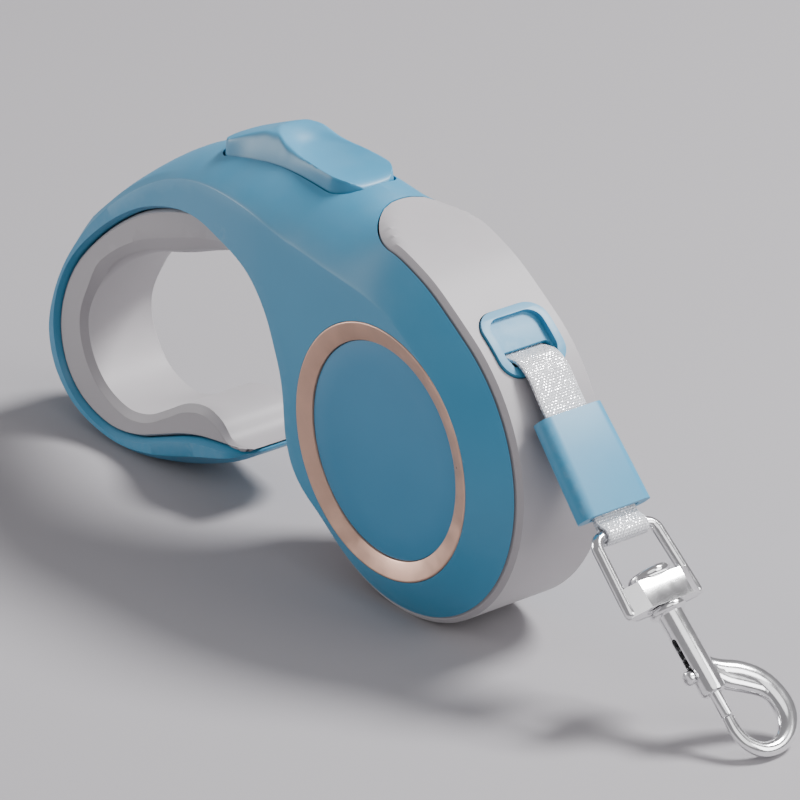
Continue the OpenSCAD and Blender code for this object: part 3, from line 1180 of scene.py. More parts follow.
@dataclass
class Housing:
    """Side shells, nose band, grip liner and trim of the leash's body.

    Attributes:
        finishes: The finishes to dress it with.
        spacing: Distance between the outline's points.
        shoulder: Inset of the side face round the drum.
        neck_shoulder: The same along the neck.
        handle_edge: The same along the handle's back.
        seam_edge: The same along the liner's seam.
        rear_edge: The same at the drum's rear, below the liner's end.
        tip_round: Length of the handle tip's rounding.
        shell_tip: Share of the shells' width left at the tip.
        liner_tip: Share of the liner's width left there.
        most_inset: Largest share of the local thickness that an inset takes.
        arm_end: Forward end and top of the handle's lower arm.
        widen_run: Where the handle widens to the drum, along x.
        neck_run: Where the handle's edge grows to the drum's, along x.
        shoulder_run: Where the drum's shoulder grows to the neck's, along x.
        crown_run: Where the neck's back turns from flat to rounded, along x.
        back_run: Where the handle's rounded back ends, along x.
        rear_turn: Where the rear edge grows to the drum's shoulder, in degrees round the drum.
        seam_run: Where the seam's edge grows to the rear edge, along x.
        liner_half: The liner's half width.
        liner_gap: Clearance left round the liner.
        reel_room: Round hollows about the drum's axis, as (radius, from, to) across the housing.
        works_room: Hollows for the brake's works, as (from x, to x, half width, from z, to z).
    """

    finishes: Finishes
    spacing: float = 1.0
    shoulder: float = 11.3
    neck_shoulder: float = 13.4
    handle_edge: float = 5.4
    seam_edge: float = 0.9
    rear_edge: float = 6.0
    tip_round: float = 11.0
    shell_tip: float = 0.3
    liner_tip: float = 0.6
    most_inset: float = 0.4
    arm_end: Point = (-50, -15)
    widen_run: Point = (-106, -42)
    neck_run: Point = (-112, -56)
    shoulder_run: Point = (8, -22)
    crown_run: Point = (-2, -24)
    back_run: Point = (-112, -84)
    rear_turn: Point = (-157, -120)
    seam_run: Point = (-62, -46)
    liner_half: float = 11.35
    liner_gap: float = 0.36
    reel_room: tuple[tuple[float, float, float], ...] = ((36.6, -14.9, 14.9), (30.2, -16.0, 16.0))
    works_room: tuple[tuple[float, float, float, float, float], ...] = (
        (-54.0, -18.0, 11.0, 28.2, 46.6), (-54.0, -20.5, 9.8, 40.0, 49.2), (-32.0, -18.0, 11.0, 26.0, 40.0),
        (-67.4, -50.0, 5.2, 38.6, 50.0))

    def tip_share(self, x: float, z: float, least: float) -> float:
        """Give how far the handle's lower arm narrows near its rounded tip.

        Args:
            x: Place along the arm.
            z: Its height.
            least: Share of the width left at the very tip.

        Returns:
            A share of the full width.
        """
        if z > self.arm_end[1] or x > self.arm_end[0]:
            return 1.0
        past = min(max(x - (SPINE[-1][0] - self.tip_round), 0.0) / self.tip_round, 1.0)
        return least + (1 - least) * math.sqrt(1 - past ** 2.4)

    def side_half(self, x: float, z: float) -> float:
        """Give the side face's half width, which narrows from the drum to the handle."""
        lower_arm = z < self.arm_end[1] and x < self.arm_end[0]
        widening = 0.0 if lower_arm else (HALF_W - HANDLE_HALF_W) * ease(*self.widen_run, x)
        return (HANDLE_HALF_W + widening) * self.tip_share(x, z, self.shell_tip)

    def body_outline(self) -> tuple[list[Point], int]:
        """Give the closed side view of the blue body and where its seam starts."""
        start = math.degrees(math.atan2(SEAM[0][1], SEAM[0][0]))
        outside = evenly(arc(DRUM_R, start, 52, 90) + curve(SPINE, 8), self.spacing)
        seam = evenly(list(reversed(curve(SEAM, 8))), self.spacing)
        return outside + seam[:-1], len(outside)

    def build_body(self) -> bpy.types.Object:
        """Build the closed blue body, before the band is parted from it.

        Returns:
            The body.
        """
        outline, seam_start = self.body_outline()
        thick = thickness(outline, inward(outline))
        insets: list[float] = []
        shapes: list[tuple[float, float, float]] = []
        for i, (x, z) in enumerate(outline):
            angle = math.degrees(math.atan2(z, x))
            if i < seam_start:
                neck = ease(*self.neck_run, x)
                drum = self.shoulder + (self.neck_shoulder - self.shoulder) * ease(*self.shoulder_run, x)
                inset = self.handle_edge + (drum - self.handle_edge) * neck
                if z < 0 and angle < -90:
                    growth = ease(*self.rear_turn, angle)
                    inset = self.rear_edge + (self.shoulder - self.rear_edge) * growth
                if z < 0 and x < self.arm_end[0]:
                    inset = self.handle_edge
                crown = ease(*self.crown_run, x) if z > 20 else 0.0
                rounded = 1 - ease(*self.back_run, x) if z > 0 or x < self.arm_end[0] else 0.0
                shape = (0.62 * (1 - crown), 1.12 + 0.88 * crown, 0.85 * rounded)
            else:
                rear = ease(*self.seam_run, x) if z > -20 and x > -64 else 0.0
                inset = self.seam_edge + (self.rear_edge - self.seam_edge) * rear
                shape = (0.86 - 0.36 * rear, 1.6, 1 - rear)
            insets.append(min(inset, self.most_inset * thick[i]))
            shapes.append(shape)
        insets = averaged(insets, 5)
        parts = [averaged([shape[k] for shape in shapes], 4) for k in range(3)]
        return Pillow("body", outline, insets, list(zip(*parts)), self.side_half).build()

    def build_liner(self) -> bpy.types.Object:
        """Build the soft liner inside the hook handle.

        Returns:
            The liner.
        """
        outer = evenly(curve(SEAM, 8), self.spacing)
        outline = outer[:-1] + evenly(list(reversed(curve(GRIP, 8))), self.spacing)
        thick = thickness(outline, inward(outline))

        def half_at(x: float, z: float) -> float:
            """Give the liner's half width, a little less than the shells'."""
            drum = ease(-66, -46, x) * ease(-14, 0, z)
            return (self.liner_half - 0.95 * drum) * self.tip_share(x, z, self.liner_tip)

        insets: list[float] = []
        shapes: list[tuple[float, float, float]] = []
        for i, (x, z) in enumerate(outline):
            top = ease(-6, 12, z)
            inset = 0.8 if i < len(outer) else 2.0 + 5.6 * top
            start = 0.9 if i < len(outer) else 0.84 - 0.44 * top
            insets.append(min(inset, self.most_inset * thick[i]))
            shapes.append((start, 2.0, 1.0))
        insets = averaged(insets, 3)
        parts = [averaged([shape[k] for shape in shapes], 3) for k in range(3)]
        pillow = Pillow("grip_liner_skin", outline, insets, list(zip(*parts)), half_at, lattice=2.2)
        liner = pillow.build()
        apply_modifier(liner, "DISPLACE", strength=-self.liner_gap * MM, mid_level=0.0)
        return smooth(liner, 34)

    def band_tool(self, grow: float) -> bpy.types.Object:
        """Build the block that the nose band is cut with: a tongue above, a full belt below.

        Args:
            grow: How much wider than the band it is.

        Returns:
            The block.
        """
        radius, front, bottom, top = BAND_HALF_W + grow, 70, -70, 75
        bend = [(TONGUE_X + radius * math.cos(a), radius * math.sin(a))
                for a in (math.radians(90 + 180 * i / 48) for i in range(49))]
        plan = bend + [(front, -radius), (front, radius)]
        verts = [place(x, y, z) for z in (bottom, top) for x, y in plan]
        upper = mesh_object("band_tool", verts, prism_faces(len(plan)))
        low = SEAM[0][1] + grow
        corners = [place(x, y, z) for x in (-47, 2) for y in (-radius, radius) for z in (bottom, low)]
        box_faces = [(0, 1, 3, 2), (4, 6, 7, 5), (0, 4, 5, 1), (2, 3, 7, 6), (0, 2, 6, 4), (1, 5, 7, 3)]
        return combine(upper, mesh_object("band_tool_low", corners, box_faces), "UNION")

    def pocket_tool(self) -> bpy.types.Object:
        """Build the block that the button's pocket is cut with."""
        steps = 48
        near: list[Point] = []
        for i in range(steps + 1):
            share = 0.5 - 0.5 * math.cos(math.pi * i / steps)
            x = BUTTON_X[0] + (BUTTON_X[1] - BUTTON_X[0]) * share
            near.append((x + BUTTON_GAP * (2 * share - 1), button_half(x) + BUTTON_GAP))
        plan = near + [(x, -y) for x, y in reversed(near)]
        verts = [place(x, y, z) for z in (POCKET_FLOOR, POCKET_FLOOR + 30) for x, y in plan]
        return mesh_object("pocket_tool", verts, prism_faces(len(plan)))

    def slot_tool(self) -> bpy.types.Object:
        """Build the block that the nozzle's opening is cut with."""
        tool = round_box("slot_tool", (20, EXIT_SIZE[0] + 0.5, EXIT_SIZE[1] + 0.5), 5.2)
        return settle(tool, exit_matrix())

    def cavity_tools(self) -> list[bpy.types.Object]:
        """Build the blocks that the shells are hollowed with, round the reel and the brake's works.

        Returns:
            The blocks.
        """
        tools = [drum_disc(*size) for size in self.reel_room]
        for x0, x1, half, z0, z1 in self.works_room:
            room = round_box("works_room", (x1 - x0, 2 * half, z1 - z0), 0.8)
            middle = Matrix.Translation(((x0 + x1) / 2, 0, (z0 + z1) / 2))
            tools.append(settle(room, Matrix.Translation(DRUM) @ SCALE_MM @ middle))
        return tools

    def half_of(self, body: bpy.types.Object, name: str, hand: int) -> bpy.types.Object:
        """Keep one side of the body.

        Args:
            body: The whole body.
            name: The half's name.
            hand: -1 for the right side, 1 for the left.

        Returns:
            The half, closed along the parting line.
        """
        half = only(copy_of(body, name))
        bpy.ops.object.mode_set(mode="EDIT")
        bpy.ops.mesh.select_all(action="SELECT")
        bpy.ops.mesh.bisect(plane_co=DRUM + Vector((0, hand * 0.03 * MM, 0)), plane_no=(0, hand, 0),
                            use_fill=True, clear_inner=True)
        bpy.ops.object.mode_set(mode="OBJECT")
        return smooth(half, 30)

    def build(self) -> None:
        """Build and dress every piece of the housing."""
        body = self.build_body()
        band = copy_of(body, "nose_band_skin")
        combine(band, self.band_tool(0.0), "INTERSECT")
        combine(band, drum_disc(37.4, -30, 30), "DIFFERENCE")
        combine(band, self.slot_tool(), "DIFFERENCE")
        combine(band, self.pocket_tool(), "DIFFERENCE")
        combine(body, self.band_tool(SEAM_GAP), "DIFFERENCE")
        combine(body, self.pocket_tool(), "DIFFERENCE")
        for tool in self.cavity_tools():
            combine(body, tool, "DIFFERENCE")
        for hand in (-1, 1):
            combine(body, drum_disc(RING_R + 0.12, *sorted((hand * SIDE_WALL_Y, hand * 30))), "DIFFERENCE")
        right = self.half_of(body, "right_shell_skin", -1)
        left = self.half_of(body, "left_shell_skin", 1)
        bpy.data.objects.remove(body, do_unlink=True)
        report(dress(right, self.finishes.blue), "housing", "right_shell", slot="blue_plastic")
        report(dress(left, self.finishes.blue), "housing", "left_shell", slot="blue_plastic")
        report(dress(smooth(band, 30), self.finishes.grey), "housing", "nose_band", slot="grey_soft")
        report(dress(self.build_liner(), self.finishes.grey), "housing", "grip_liner", slot="grey_soft")
        for hand, name in ((-1, "right"), (1, "left")):
            self.build_trim(hand, name)

    def build_trim(self, hand: int, name: str) -> None:
        """Build one side's copper ring and disc.

        Args:
            hand: -1 for the right side, 1 for the left.
            name: The side's name.
        """
        wall, top = SIDE_WALL_Y, HALF_W
        ring_profile = [
            (wall + 0.05, RING_IN_R), (top - 1.15, RING_IN_R), (top - 1.02, RING_IN_R + 0.05),
            (top - 0.94, RING_IN_R + 0.2), (top + 0.1, RING_R - 0.5), (top + 0.16, RING_R - 0.3),
            (top + 0.12, RING_R - 0.1), (top, RING_R), (wall + 0.05, RING_R), (wall + 0.05, RING_IN_R)]
        disc_profile = [(wall + 0.05, 0), (wall + 0.05, RING_IN_R - 0.12), (wall + 0.52, RING_IN_R - 0.12),
                        (wall + 0.66, RING_IN_R - 0.2), (wall + 0.72, RING_IN_R - 0.4), (wall + 0.6, 20),
                        (wall + 0.5, 10), (wall + 0.46, 0)]
        turn = Matrix.Rotation(hand * math.pi / 2, 4, "Z")
        seat = Matrix.Translation(DRUM) @ SCALE_MM @ turn
        ring = smooth(settle(lathe(name + "_ring_skin", ring_profile, 160), seat), 40)
        disc = smooth(settle(lathe(name + "_disc_skin", disc_profile, 128), seat), 40)
        report(dress(ring, self.finishes.copper), "housing", name + "_ring", slot="copper_trim")
        report(dress(disc, self.finishes.disc), "housing", name + "_disc", slot="blue_plastic")


# ---------------------------------------------------------------- brake button


@dataclass
class BrakeButton:
    """Rocking thumb button: a hump behind, a wide dished thumb rest in front.

    Attributes:
        finishes: The finishes to dress it with.
        columns: Rows of points along the button.
        rows: Rows of points across it.
        dish: Depth of the thumb rest.
        dish_rise: Share of that depth lost by its front.
        rim_x: Place of the rim between the hump and the thumb rest, on the middle line.
        rim_bow: How much further forward that rim lies at its ends.
        rim_ridge: Height of the ridge along it.
        rest_half: Half width of the thumb rest.
        hump_round: How far the hump falls toward its sides.
        waist: How much narrower each side of the upper face is along the hump.
        margin: How far the upper face stays inside the button's side.
        side_least: Least width of the rounding beside the upper face.
        end_round: Length of the rounding at the button's two ends.
        depth: How far the underside lies below the housing's spine.
        skirt: Height of the straight wall above the underside.
        spine_points: How many of the spine's points lie in order along x, from the nose back.
        hinge: Place of its hinge pin in the side view.
        hole_r: Radius of the hole for that pin.
    """

    finishes: Finishes
    columns: int = 150
    rows: int = 56
    dish: float = 1.7
    dish_rise: float = 0.55
    rim_x: float = -57.5
    rim_bow: float = 9.5
    rim_ridge: float = 0.3
    rest_half: float = 7.8
    hump_round: float = 0.9
    waist: float = 2.5
    margin: float = 0.75
    side_least: float = 0.6
    end_round: float = 1.1
    depth: float = 4.2
    skirt: float = 1.2
    spine_points: int = 90
    hinge: Point = (-71, 45.5)
    hole_r: float = 1.35

    def crest_half(self, x: float) -> float:
        """Give the half width of the upper face, which is waisted along the hump."""
        waisted = ease(-71, -61, x) * (1 - ease(-57, -34, x))
        return BUTTON_W / 2 - self.margin - self.waist * waisted

    def crest_at(self, x: float, y: float, run: list[Point]) -> float:
        """Give the height of the upper face.

        Args:
            x: Place along the button.
            y: Place across it.
            run: Its side view.

        Returns:
            The height about the drum's axis.
        """
        share = min(abs(y) / self.rest_half, 1.0)
        rim_x = self.rim_x + self.rim_bow * share ** 2.4
        inner = ease(rim_x, rim_x + 8, x)
        depth = self.dish * (1 - self.dish_rise * ease(-46, -27, x))
        height = along(run, x) - depth * inner * (1 - share ** 2)
        ridge = math.exp(-((x - rim_x + 0.8) / 1.5) ** 2)
        hump = 1 - ease(-58, -50, x)
        return height + self.rim_ridge * ridge - self.hump_round * hump * share ** 3

    def build(self) -> None:
        """Build and dress the button."""
        run = curve(BUTTON_TOP, 6)
        spine = curve(SPINE, 8)[:self.spine_points]
        shares = [math.sin(math.pi / 2 * (2 * j / self.rows - 1)) for j in range(self.rows + 1)]
        width = len(shares)
        verts: list[Vector] = []
        faces: list[tuple[int, ...]] = []
        for level in (1, 0):
            for i in range(self.columns + 1):
                eased = 0.5 - 0.5 * math.cos(math.pi * i / self.columns)
                t = 0.5 * eased + 0.5 * i / self.columns
                x = BUTTON_X[0] + 0.02 + (BUTTON_X[1] - BUTTON_X[0] - 0.04) * t
                half = button_half(x)
                crest = min(self.crest_half(x), half - self.side_least)
                low = along(spine, x) - self.depth
                for share in shares:
                    y = share * half
                    fall = max(abs(y) - crest, 0.0) / max(half - crest, 0.1)
                    end = min(x - BUTTON_X[0], BUTTON_X[1] - x) / self.end_round
                    fall = max(fall, 1 - min(end, 1.0))
                    top = self.crest_at(x, y, run)
                    height = top - (top - low - self.skirt) * fall ** 2.2
                    verts.append(place(x, y, height if level else low))
        layer = (self.columns + 1) * width
        for i in range(self.columns):
            for j in range(width - 1):
                a = i * width + j
                quad = (a, a + 1, a + width + 1, a + width)
                faces += [quad, tuple(layer + q for q in reversed(quad))]
        edge = ([j for j in range(width)] + [i * width + width - 1 for i in range(1, self.columns + 1)]
                + [self.columns * width + j for j in range(width - 2, -1, -1)]
                + [i * width for i in range(self.columns - 1, 0, -1)])
        for a, b in zip(edge, edge[1:] + edge[:1]):
            faces.append((a, b, b + layer, a + layer))
        button = mesh_object("brake_button_skin", verts, faces)
        x, z = self.hinge
        hole = rod("hinge_hole", -20, 20, self.hole_r, 40)
        across = Matrix.Translation((x, 0, z)) @ Matrix.Rotation(math.pi / 2, 4, "Z")
        combine(button, settle(hole, Matrix.Translation(DRUM) @ SCALE_MM @ across), "DIFFERENCE")
        smooth(button, 40)
        report(dress(button, self.finishes.blue), "button", "brake_button", slot="blue_plastic")


# ---------------------------------------------------------------- tape exit and lead


@dataclass
class TapeExit:
    """Rounded frame that the tape runs out of: a recessed plate with the tape's slot below it.

    Attributes:
        finishes: The finishes to dress it with.
        proud: How far the frame stands out of the band.
        wall: Width of the rim round the recess.
        floor_x: Place of the recess's floor along the exit's axis.
        slot: Width, height and drop of the tape's slot.
    """

    finishes: Finishes
    proud: float = 0.8
    wall: float = 2.0
    floor_x: float = -0.9
    slot: tuple[float, float, float] = (13.4, 4.7, 3.85)

    def block(self, size: Point, corner: float, x0: float, x1: float, drop: float = 0.0) -> bpy.types.Object:
        """Build a rounded block along the exit's axis.

        Args:
            size: Its width and height.
            corner: Radius of its corners.
            x0: Where it starts.
            x1: Where it ends.
            drop: How far it lies below the axis.

        Returns:
            The block.
        """
        block = round_box("exit_block", (x1 - x0, size[0], size[1]), corner)
        block.data.transform(Matrix.Translation(((x0 + x1) / 2, 0, -drop)))
        return settle(block, exit_matrix())

    def build(self) -> None:
        """Build and dress the frame."""
        plug = self.block(EXIT_SIZE, 5.0, -4.2, 3.0)
        plug.name = "nozzle_frame_skin"
        combine(plug, drum_disc(DRUM_R + self.proud, -20, 20), "INTERSECT")
        recess = (EXIT_SIZE[0] - 2 * self.wall, EXIT_SIZE[1] - 2 * self.wall)
        combine(plug, self.block(recess, 3.5, self.floor_x, 6.0), "DIFFERENCE")
        width, height, drop = self.slot
        combine(plug, self.block((width, height), 1.2, -8.0, 6.0, drop), "DIFFERENCE")
        inner = self.block((width + 0.2, height + 2.7), 1.0, -8.0, self.floor_x - 1.3, drop - 1.35)
        combine(plug, inner, "DIFFERENCE")
        soften(plug, 0.7 * MM, 4, 45)
        report(dress(smooth(plug, 40), self.finishes.blue), "housing", "nozzle_frame", slot="blue_plastic")


@dataclass
class Lead:
    """Free tape, sleeve and stitched loop.

    Attributes:
        finishes: The finishes to dress them with.
        flare: How much wider the sleeve is at its lower end, as a share of its width.
    """

    finishes: Finishes
    flare: float = 0.09

    def ribbon(self, name: str, path: list[Point], width: float, thick: float) -> bpy.types.Object:
        """Sweep a flat woven strip along a path in the side view.

        Args:
            name: The object's name.
            path: Centre points.
            width: The strip's width.
            thick: Its thickness.

        Returns:
            The strip, with a UV map in tape widths.
        """
        count = len(path)
        half, rim = width / 2, thick / 2
        ring: list[Point] = []
        for hand in (1, -1):
            for a in (60, 30, 0, -30, -60):
                ring.append((hand * (half - rim + rim * math.cos(math.radians(a))),
                             hand * rim * math.sin(math.radians(a))))
            ring += [(hand * f * half, -hand * rim) for f in (0.8, 0.55, 0.28, 0.0, -0.28, -0.55, -0.8)]
        verts: list[Vector] = []
        runs = [0.0]
        for i, p in enumerate(path):
            a, b = path[max(i - 1, 0)], path[min(i + 1, count - 1)]
            size = math.dist(a, b)
            up = (-(b[1] - a[1]) / size, (b[0] - a[0]) / size)
            if i:
                runs.append(runs[-1] + math.dist(path[i - 1], p))
            for y, lift in ring:
                verts.append(place(p[0] + up[0] * lift, y, p[1] + up[1] * lift))
        size = len(ring)
        faces: list[tuple[int, ...]] = []
        for row in range(0, (count - 1) * size, size):
            for k in range(size):
                after = (k + 1) % size
                faces.append((row + k, row + after, row + size + after, row + size + k))
        faces += [tuple(range(size)), tuple(range((count - 1) * size, count * size))]
        mesh = bpy.data.meshes.new(name)
        mesh.from_pydata([tuple(v) for v in verts], [], faces)
        layer = mesh.uv_layers.new(name="UVMap")
        for loop in mesh.loops:
            i, k = divmod(loop.vertex_index, size)
            layer.data[loop.index].uv = (runs[i] / width, ring[k][0] / width + 0.5)
        obj = bpy.data.objects.new(name, mesh)
        bpy.context.scene.collection.objects.link(obj)
        only(obj)
        bpy.ops.object.mode_set(mode="EDIT")
        bpy.ops.mesh.select_all(action="SELECT")
        bpy.ops.mesh.normals_make_consistent(inside=False)
        bpy.ops.object.mode_set(mode="OBJECT")
        return smooth(obj, 50)

    def build_tape(self) -> None:
        path = evenly(curve(TAPE_ROUTE, 8), 0.9)
        tape = dress(self.ribbon("tape_skin", path, TAPE_W, TAPE_T), self.finishes.tape)
        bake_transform(tape)
        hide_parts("tape")

    def build_sleeve(self) -> bpy.types.Object:
        """Build the hard sleeve on the tape."""
        sleeve = round_box("tape_sleeve_skin", (SLEEVE_LEN, 19.0, 6.2), 2.95)
        slot = round_box("sleeve_slot", (SLEEVE_LEN * 2, TAPE_W + 0.9, 2.6), 0.6)
        combine(sleeve, slot, "DIFFERENCE")
        soften(sleeve, 0.45, 3, 50)
        for vert in sleeve.data.vertices:
            vert.co.y *= 1 + self.flare * vert.co.x / SLEEVE_LEN
        sleeve = smooth(settle(sleeve, sleeve_matrix()), 40)
        return report(dress(sleeve, self.finishes.blue), "lead_end", "tape_sleeve", slot="blue_plastic")

    def build_tail(self) -> bpy.types.Object:
        """Build the tape's turned-back end round the eye's bar."""
        spot = sleeve_matrix().inverted() @ place(BAR_AT[0], 0, BAR_AT[1])
        radius = EYE_WIRE / 2 + 0.55
        loop = [(spot.x + radius * math.cos(a), spot.z + radius * math.sin(a))
                for a in (math.radians(150 - 300 * i / 26) for i in range(27))]
        (end_x, end_z), lap_x, lap_z, steps = loop[-1], 6, -0.87, 8
        back = [(lap_x + (end_x - lap_x) * i / steps, lap_z + (end_z - lap_z) * ease(5, steps, i))
                for i in range(steps)]
        front = [(spot.x - 3.4, 0.0), (spot.x - 2.7, 0.25)]
        local = front + loop + list(reversed(back))
        matrix = Matrix.Translation(DRUM).inverted() @ sleeve_matrix()
        path = []
        for x, z in local:
            world = matrix @ Vector((x, 0, z))
            path.append((world.x / MM, world.z / MM))
        tail = self.ribbon("tape_tail_skin", evenly(path, 0.5), TAPE_W - 0.2, 0.8)
        return report(dress(tail, self.finishes.tape), "lead_end", "tape_tail", slot="tape")


@dataclass
class SnapHook:
    """Swivel eye and bolt snap.

    Attributes:
        finishes: The finishes to dress them with.
    """

    finishes: Finishes

    def build_eye(self) -> bpy.types.Object:
        """Build the D-shaped eye with its swivel block."""
        half, corner, low, flare = 8.8, 2.85, BLOCK_D + 2.4, 0.9
        points = [Vector((corner * (1 - math.cos(a)), -(half - corner + corner * math.sin(a)), 0))
                  for a in (math.radians(90 * i / 12) for i in range(13))]
        leg = [Vector((corner + (low - corner) * i / 8, -(half + flare * i / 8), 0)) for i in range(1, 9)]
        left = list(reversed(points + leg))
        right = [Vector((p.x, -p.y, 0)) for p in reversed(left)]
        path = left + [Vector((0, y, 0)) for y in (-2, 0, 2)] + right
        eye = tube("swivel_eye_skin", path, lambda _share: EYE_WIRE / 2, 24)
        plan = [(-10.4, -0.7), (-6, -3.6), (6, -3.6), (10.4, -0.7),
                (10.4, 0.7), (6, 3.6), (-6, 3.6), (-10.4, 0.7)]
        verts = [Vector((x, y, z)) for x in (BLOCK_D - 3, BLOCK_D + 3.6) for y, z in plan]
        combine(eye, mesh_object("swivel_block", verts, prism_faces(len(plan))), "UNION")
        combine(eye, rod("swivel_bore", BLOCK_D - 8, BLOCK_D + 8, 2.3, 48), "DIFFERENCE")
        soften(eye, 0.35, 2, 60)
        eye = smooth(settle(eye, hook_matrix()), 27)
        return report(dress(eye, self.finishes.chrome), "eye", "swivel_eye", slot="chrome")

    def build_washer(self) -> bpy.types.Object:
        """Build the peened head of the swivel, inside the eye."""
        at = BLOCK_D - 5.3
        profile = [(at - 0.5, 0), (at - 0.45, 1.2), (at - 0.1, 2.2), (at, 3.6), (at + 0.25, 4.7),
                   (at + 0.8, 5.15), (at + 1.6, 5.2), (at + 2.05, 4.9), (at + 2.15, 4.5), (at + 2.15, 0)]
        washer = smooth(settle(lathe("swivel_washer_skin", profile), hook_matrix()), 40)
        return report(dress(washer, self.finishes.chrome), "hook", "swivel_washer", slot="chrome")

    @staticmethod
    def bow_radius(share: float) -> float:
        """Give the bow's radius, which swells past the web and thins toward the gate.

        Args:
            share: Share of the way along the bow.

        Returns:
            The radius.
        """
        swell, thin, point = ease(0.1, 0.35, share), ease(0.5, 0.75, share), ease(0.8, 1.0, share)
        return 2.3 + 0.5 * swell - 1.0 * thin - 0.35 * point

    @staticmethod
    def limb(name: str, line: Sequence[Point], radius: Callable[[float], float],
             flat: float) -> bpy.types.Object:
        """Build one curved, slightly flattened limb of the hook.

        Args:
            name: The object's name.
            line: Its centre line, as (distance down the hook, place across it).
            radius: Gives the radius at a share of the way along.
            flat: Its thickness as a share of its width.

        Returns:
            The limb, in millimetres.
        """
        limb = tube(name, [Vector((x, y, 0)) for x, y in line], radius, 24, round_ends=False)
        for vert in limb.data.vertices:
            vert.co.z *= flat
        return limb

    def build_hook(self) -> bpy.types.Object:
        """Build the shank with its flange and the open bow."""
        start, bore_start = BLOCK_D - 3.1, BLOCK_D + 8.6
        profile = [
            (start, 0), (start, 2.2), (BLOCK_D + 3.75, 2.2), (BLOCK_D + 3.8, 3.9), (BLOCK_D + 4.0, 4.3),
            (BLOCK_D + 4.5, 4.45), (BLOCK_D + 5.0, 4.3), (BLOCK_D + 5.3, 3.9), (BLOCK_D + 5.6, SHANK_R + 0.1),
            (BLOCK_D + 6.4, SHANK_R), (SHANK_END - 1.0, SHANK_R), (SHANK_END - 0.3, SHANK_R - 0.2),
            (SHANK_END, SHANK_R - 0.7), (SHANK_END, BOLT_HOLE_R), (bore_start, BOLT_HOLE_R), (bore_start, 0)]
        hook = lathe("hook_body_skin", profile, 40)
        bow = self.limb("hook_bow", evenly(curve(BOW_LINE, 8), 0.8), self.bow_radius, 0.8)
        combine(hook, bow, "UNION")
        web = self.limb("hook_web", curve(WEB_LINE, 8), lambda share: 2.75 - 1.0 * share, 0.78)
        combine(hook, web, "UNION")
        combine(hook, rod("hook_bore", bore_start, SHANK_END + 2, BOLT_HOLE_R, 40), "DIFFERENCE")
        slot = round_box("hook_slot", (10.2, 4, 1.7), 0.7, axis=1)
        slot.data.transform(Matrix.Translation((32.5, -2.6, 0)))
        combine(hook, slot, "DIFFERENCE")
        hook = smooth(settle(hook, hook_matrix()), 38)
        return report(dress(hook, self.finishes.chrome), "hook", "hook_body", slot="chrome")

    def build_bolt(self) -> list[bpy.types.Object]:
        """Build the spring bolt and its thumb knob."""
        tip = SHANK_END + 6.0
        start, radius = KNOB_D - 1.0, BOLT_HOLE_R - 0.1
        bolt = lathe("hook_bolt_skin", [
            (start, 0), (start, radius), (tip - 0.4, radius), (tip - 0.1, 1.2), (tip, 0.8), (tip, 0)], 36)
        knob = lathe("bolt_knob_skin", [
            (1.0, 0), (1.0, 0.75), (3.5, 0.75), (3.6, 1.4), (3.75, 1.6), (4.5, 1.65),
            (4.8, 1.5), (5.0, 1.1), (5.02, 0)], 36)
        turn = Matrix.Translation((KNOB_D, 0, 0)) @ Matrix.Rotation(-math.pi / 2, 4, "Z")
        settle(bolt, hook_matrix())
        settle(knob, hook_matrix() @ turn)
        report(dress(smooth(bolt, 40), self.finishes.chrome), "bolt", "hook_bolt", slot="chrome")
        report(dress(smooth(knob, 40), self.finishes.chrome), "bolt", "bolt_knob", slot="chrome")
        return [bolt, knob]

    def build(self) -> list[bpy.types.Object]:
        """Build every piece of the snap.

        Returns:
            The pieces.
        """
        return [self.build_eye(), self.build_washer(), self.build_hook(), *self.build_bolt()]


# ---------------------------------------------------------------- works and stage


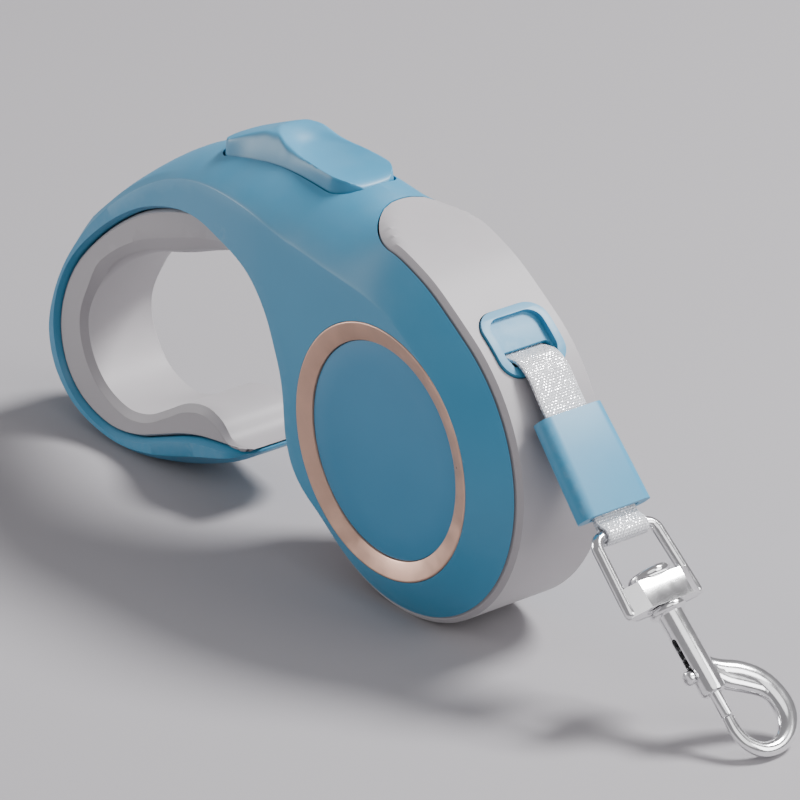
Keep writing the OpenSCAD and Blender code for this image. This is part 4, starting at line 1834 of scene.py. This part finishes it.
@dataclass
class Works:
    """The parts inside, which keep their CAD shapes.

    Attributes:
        finishes: The finishes to dress them with.
        bolt_seat: Not used; distance down the hook of the bolt spring's fixed end.
        bolt_keep: Not used; share of its length that the bolt spring keeps when drawn back.
        button_arm: Not used; distance from the button's hinge to the leaf spring's tip, in millimetres.
        button_turn: Not used; how far the button turns, in radians.
        black: The nodes of black nylon.
        steel: The nodes of steel.
    """

    finishes: Finishes
    bolt_seat: float = 25.3
    bolt_keep: float = 0.2
    button_arm: float = 29.0
    button_turn: float = math.radians(3)
    black: tuple[str, ...] = ("reel_drum", "reel_flange", "spring_cup", "spring_cover", "brake_pawl")
    steel: tuple[str, ...] = ("tape_guide_pin", "reel_axle", "reel_washer", "power_spring", "button_pin",
                              "button_spring", "pawl_pin", "pawl_spring", "housing_screws", "bolt_spring")

    def build(self) -> None:
        """Dress the inner parts."""
        for name in self.black:
            dress(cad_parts[name], self.finishes.black)
        for name in self.steel:
            dress(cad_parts[name], self.finishes.steel)
        dress(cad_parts["tape_coil"], self.finishes.grey)
        self.squeeze_springs()
        LOG.info("inner parts dressed")

    def squeeze_springs(self) -> None:
        """Give the bolt's spring and the button's leaf spring meshes of their own."""
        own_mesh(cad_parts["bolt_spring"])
        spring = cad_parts["button_spring"]
        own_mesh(spring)


@dataclass
class Studio:
    """Floor, lights and camera.

    Attributes:
        azimuth: Camera's turn from looking along +y, in degrees.
        elevation: Camera's height angle in degrees.
        distance: Distance from the near ring's centre in metres.
        lens: Focal length in millimetres.
        sensor: Width of the sensor in millimetres.
        shift: How far the camera stands right of and above that line, in metres.
        floor_size: Width of the floor in metres.
    """

    azimuth: float = 51.33
    elevation: float = 24.4
    distance: float = 1.182
    lens: float = 234.0
    sensor: float = 36.0
    shift: Point = (0.00477, 0.01195)
    floor_size: float = 40.0

    def axes(self) -> tuple[Vector, Vector, Vector]:
        """Give the camera's right, up and back directions."""
        a, e = math.radians(self.azimuth), math.radians(self.elevation)
        back = Vector((math.sin(a) * math.cos(e), -math.cos(a) * math.cos(e), math.sin(e)))
        right = Vector((math.cos(a), math.sin(a), 0))
        return right, back.cross(right), back

    def build_camera(self) -> None:
        """Set up the camera."""
        right, up, back = self.axes()
        data = bpy.data.cameras.new("camera")
        data.lens = self.lens
        data.sensor_width = self.sensor
        data.clip_start = 0.05
        camera = bpy.data.objects.new("camera", data)
        bpy.context.scene.collection.objects.link(camera)
        spot = place(0, -HALF_W, 0) + back * self.distance + right * self.shift[0] + up * self.shift[1]
        turn = Matrix((right, up, back)).transposed().to_4x4()
        camera.matrix_world = Matrix.Translation(spot) @ turn
        bpy.context.scene.camera = camera

    def area(self, name: str, spot: tuple[float, float, float], size: float, power: float) -> None:
        """Add a soft light aimed at the leash.

        Args:
            name: The light's name.
            spot: Where it stands, in metres.
            size: Its width.
            power: Its power in watts.
        """
        data = bpy.data.lights.new(name, "AREA")
        data.shape = "DISK"
        data.size = size
        data.energy = power
        light = bpy.data.objects.new(name, data)
        bpy.context.scene.collection.objects.link(light)
        light.location = spot
        aim = Vector((0, 0, 0.05))
        light.rotation_euler = (Vector(spot) - aim).to_track_quat("Z", "Y").to_euler()

    def build(self) -> None:
        """Build the floor, the lights and the world."""
        clear_selection()
        bpy.ops.mesh.primitive_plane_add(size=self.floor_size)
        floor = bpy.context.object
        floor.name = "floor"
        mat, sh, bsdf = new_material("pale_floor")
        coords = sh.node("TexCoord").outputs["Object"]
        noise = sh.node("TexNoise", {"Vector": coords, "Scale": 3.0, "Detail": 3.0})
        color = sh.mix(noise.outputs[0], (0.335, 0.322, 0.34, 1), (0.36, 0.346, 0.362, 1))
        sh.join(bsdf, {"Base Color": color, "Roughness": 0.7})
        floor.data.materials.append(mat)
        world = bpy.data.worlds.new("studio")
        world.use_nodes = True
        sky = world.node_tree.nodes["Background"]
        sky.inputs["Color"].default_value = (0.78, 0.76, 0.79, 1)
        sky.inputs["Strength"].default_value = 0.4
        bpy.context.scene.world = world
        self.area("key", (0.34, 0.78, 1.2), 0.45, 40)
        self.area("back", (1.05, 0.5, 0.6), 0.7, 7)
        self.area("card", (1.0, -0.3, 0.95), 1.1, 5)
        self.area("low_fill", (-1.05, -0.7, 0.22), 0.5, 8)


def main() -> None:
    """Build the leash piece by piece and report each one."""
    logging.basicConfig(level=logging.INFO, format="%(name)s: %(message)s")
    studio = Studio()
    studio.build_camera()
    finishes = Finishes()
    snap = SnapHook(finishes).build()
    lead = Lead(finishes)
    on_tape = [lead.build_sleeve(), lead.build_tail(), *snap]
    lead.build_tape()
    TapeExit(finishes).build()
    Housing(finishes).build()
    BrakeButton(finishes).build()
    Works(finishes).build()
    studio.build()


if __name__ == "__main__":
    main()
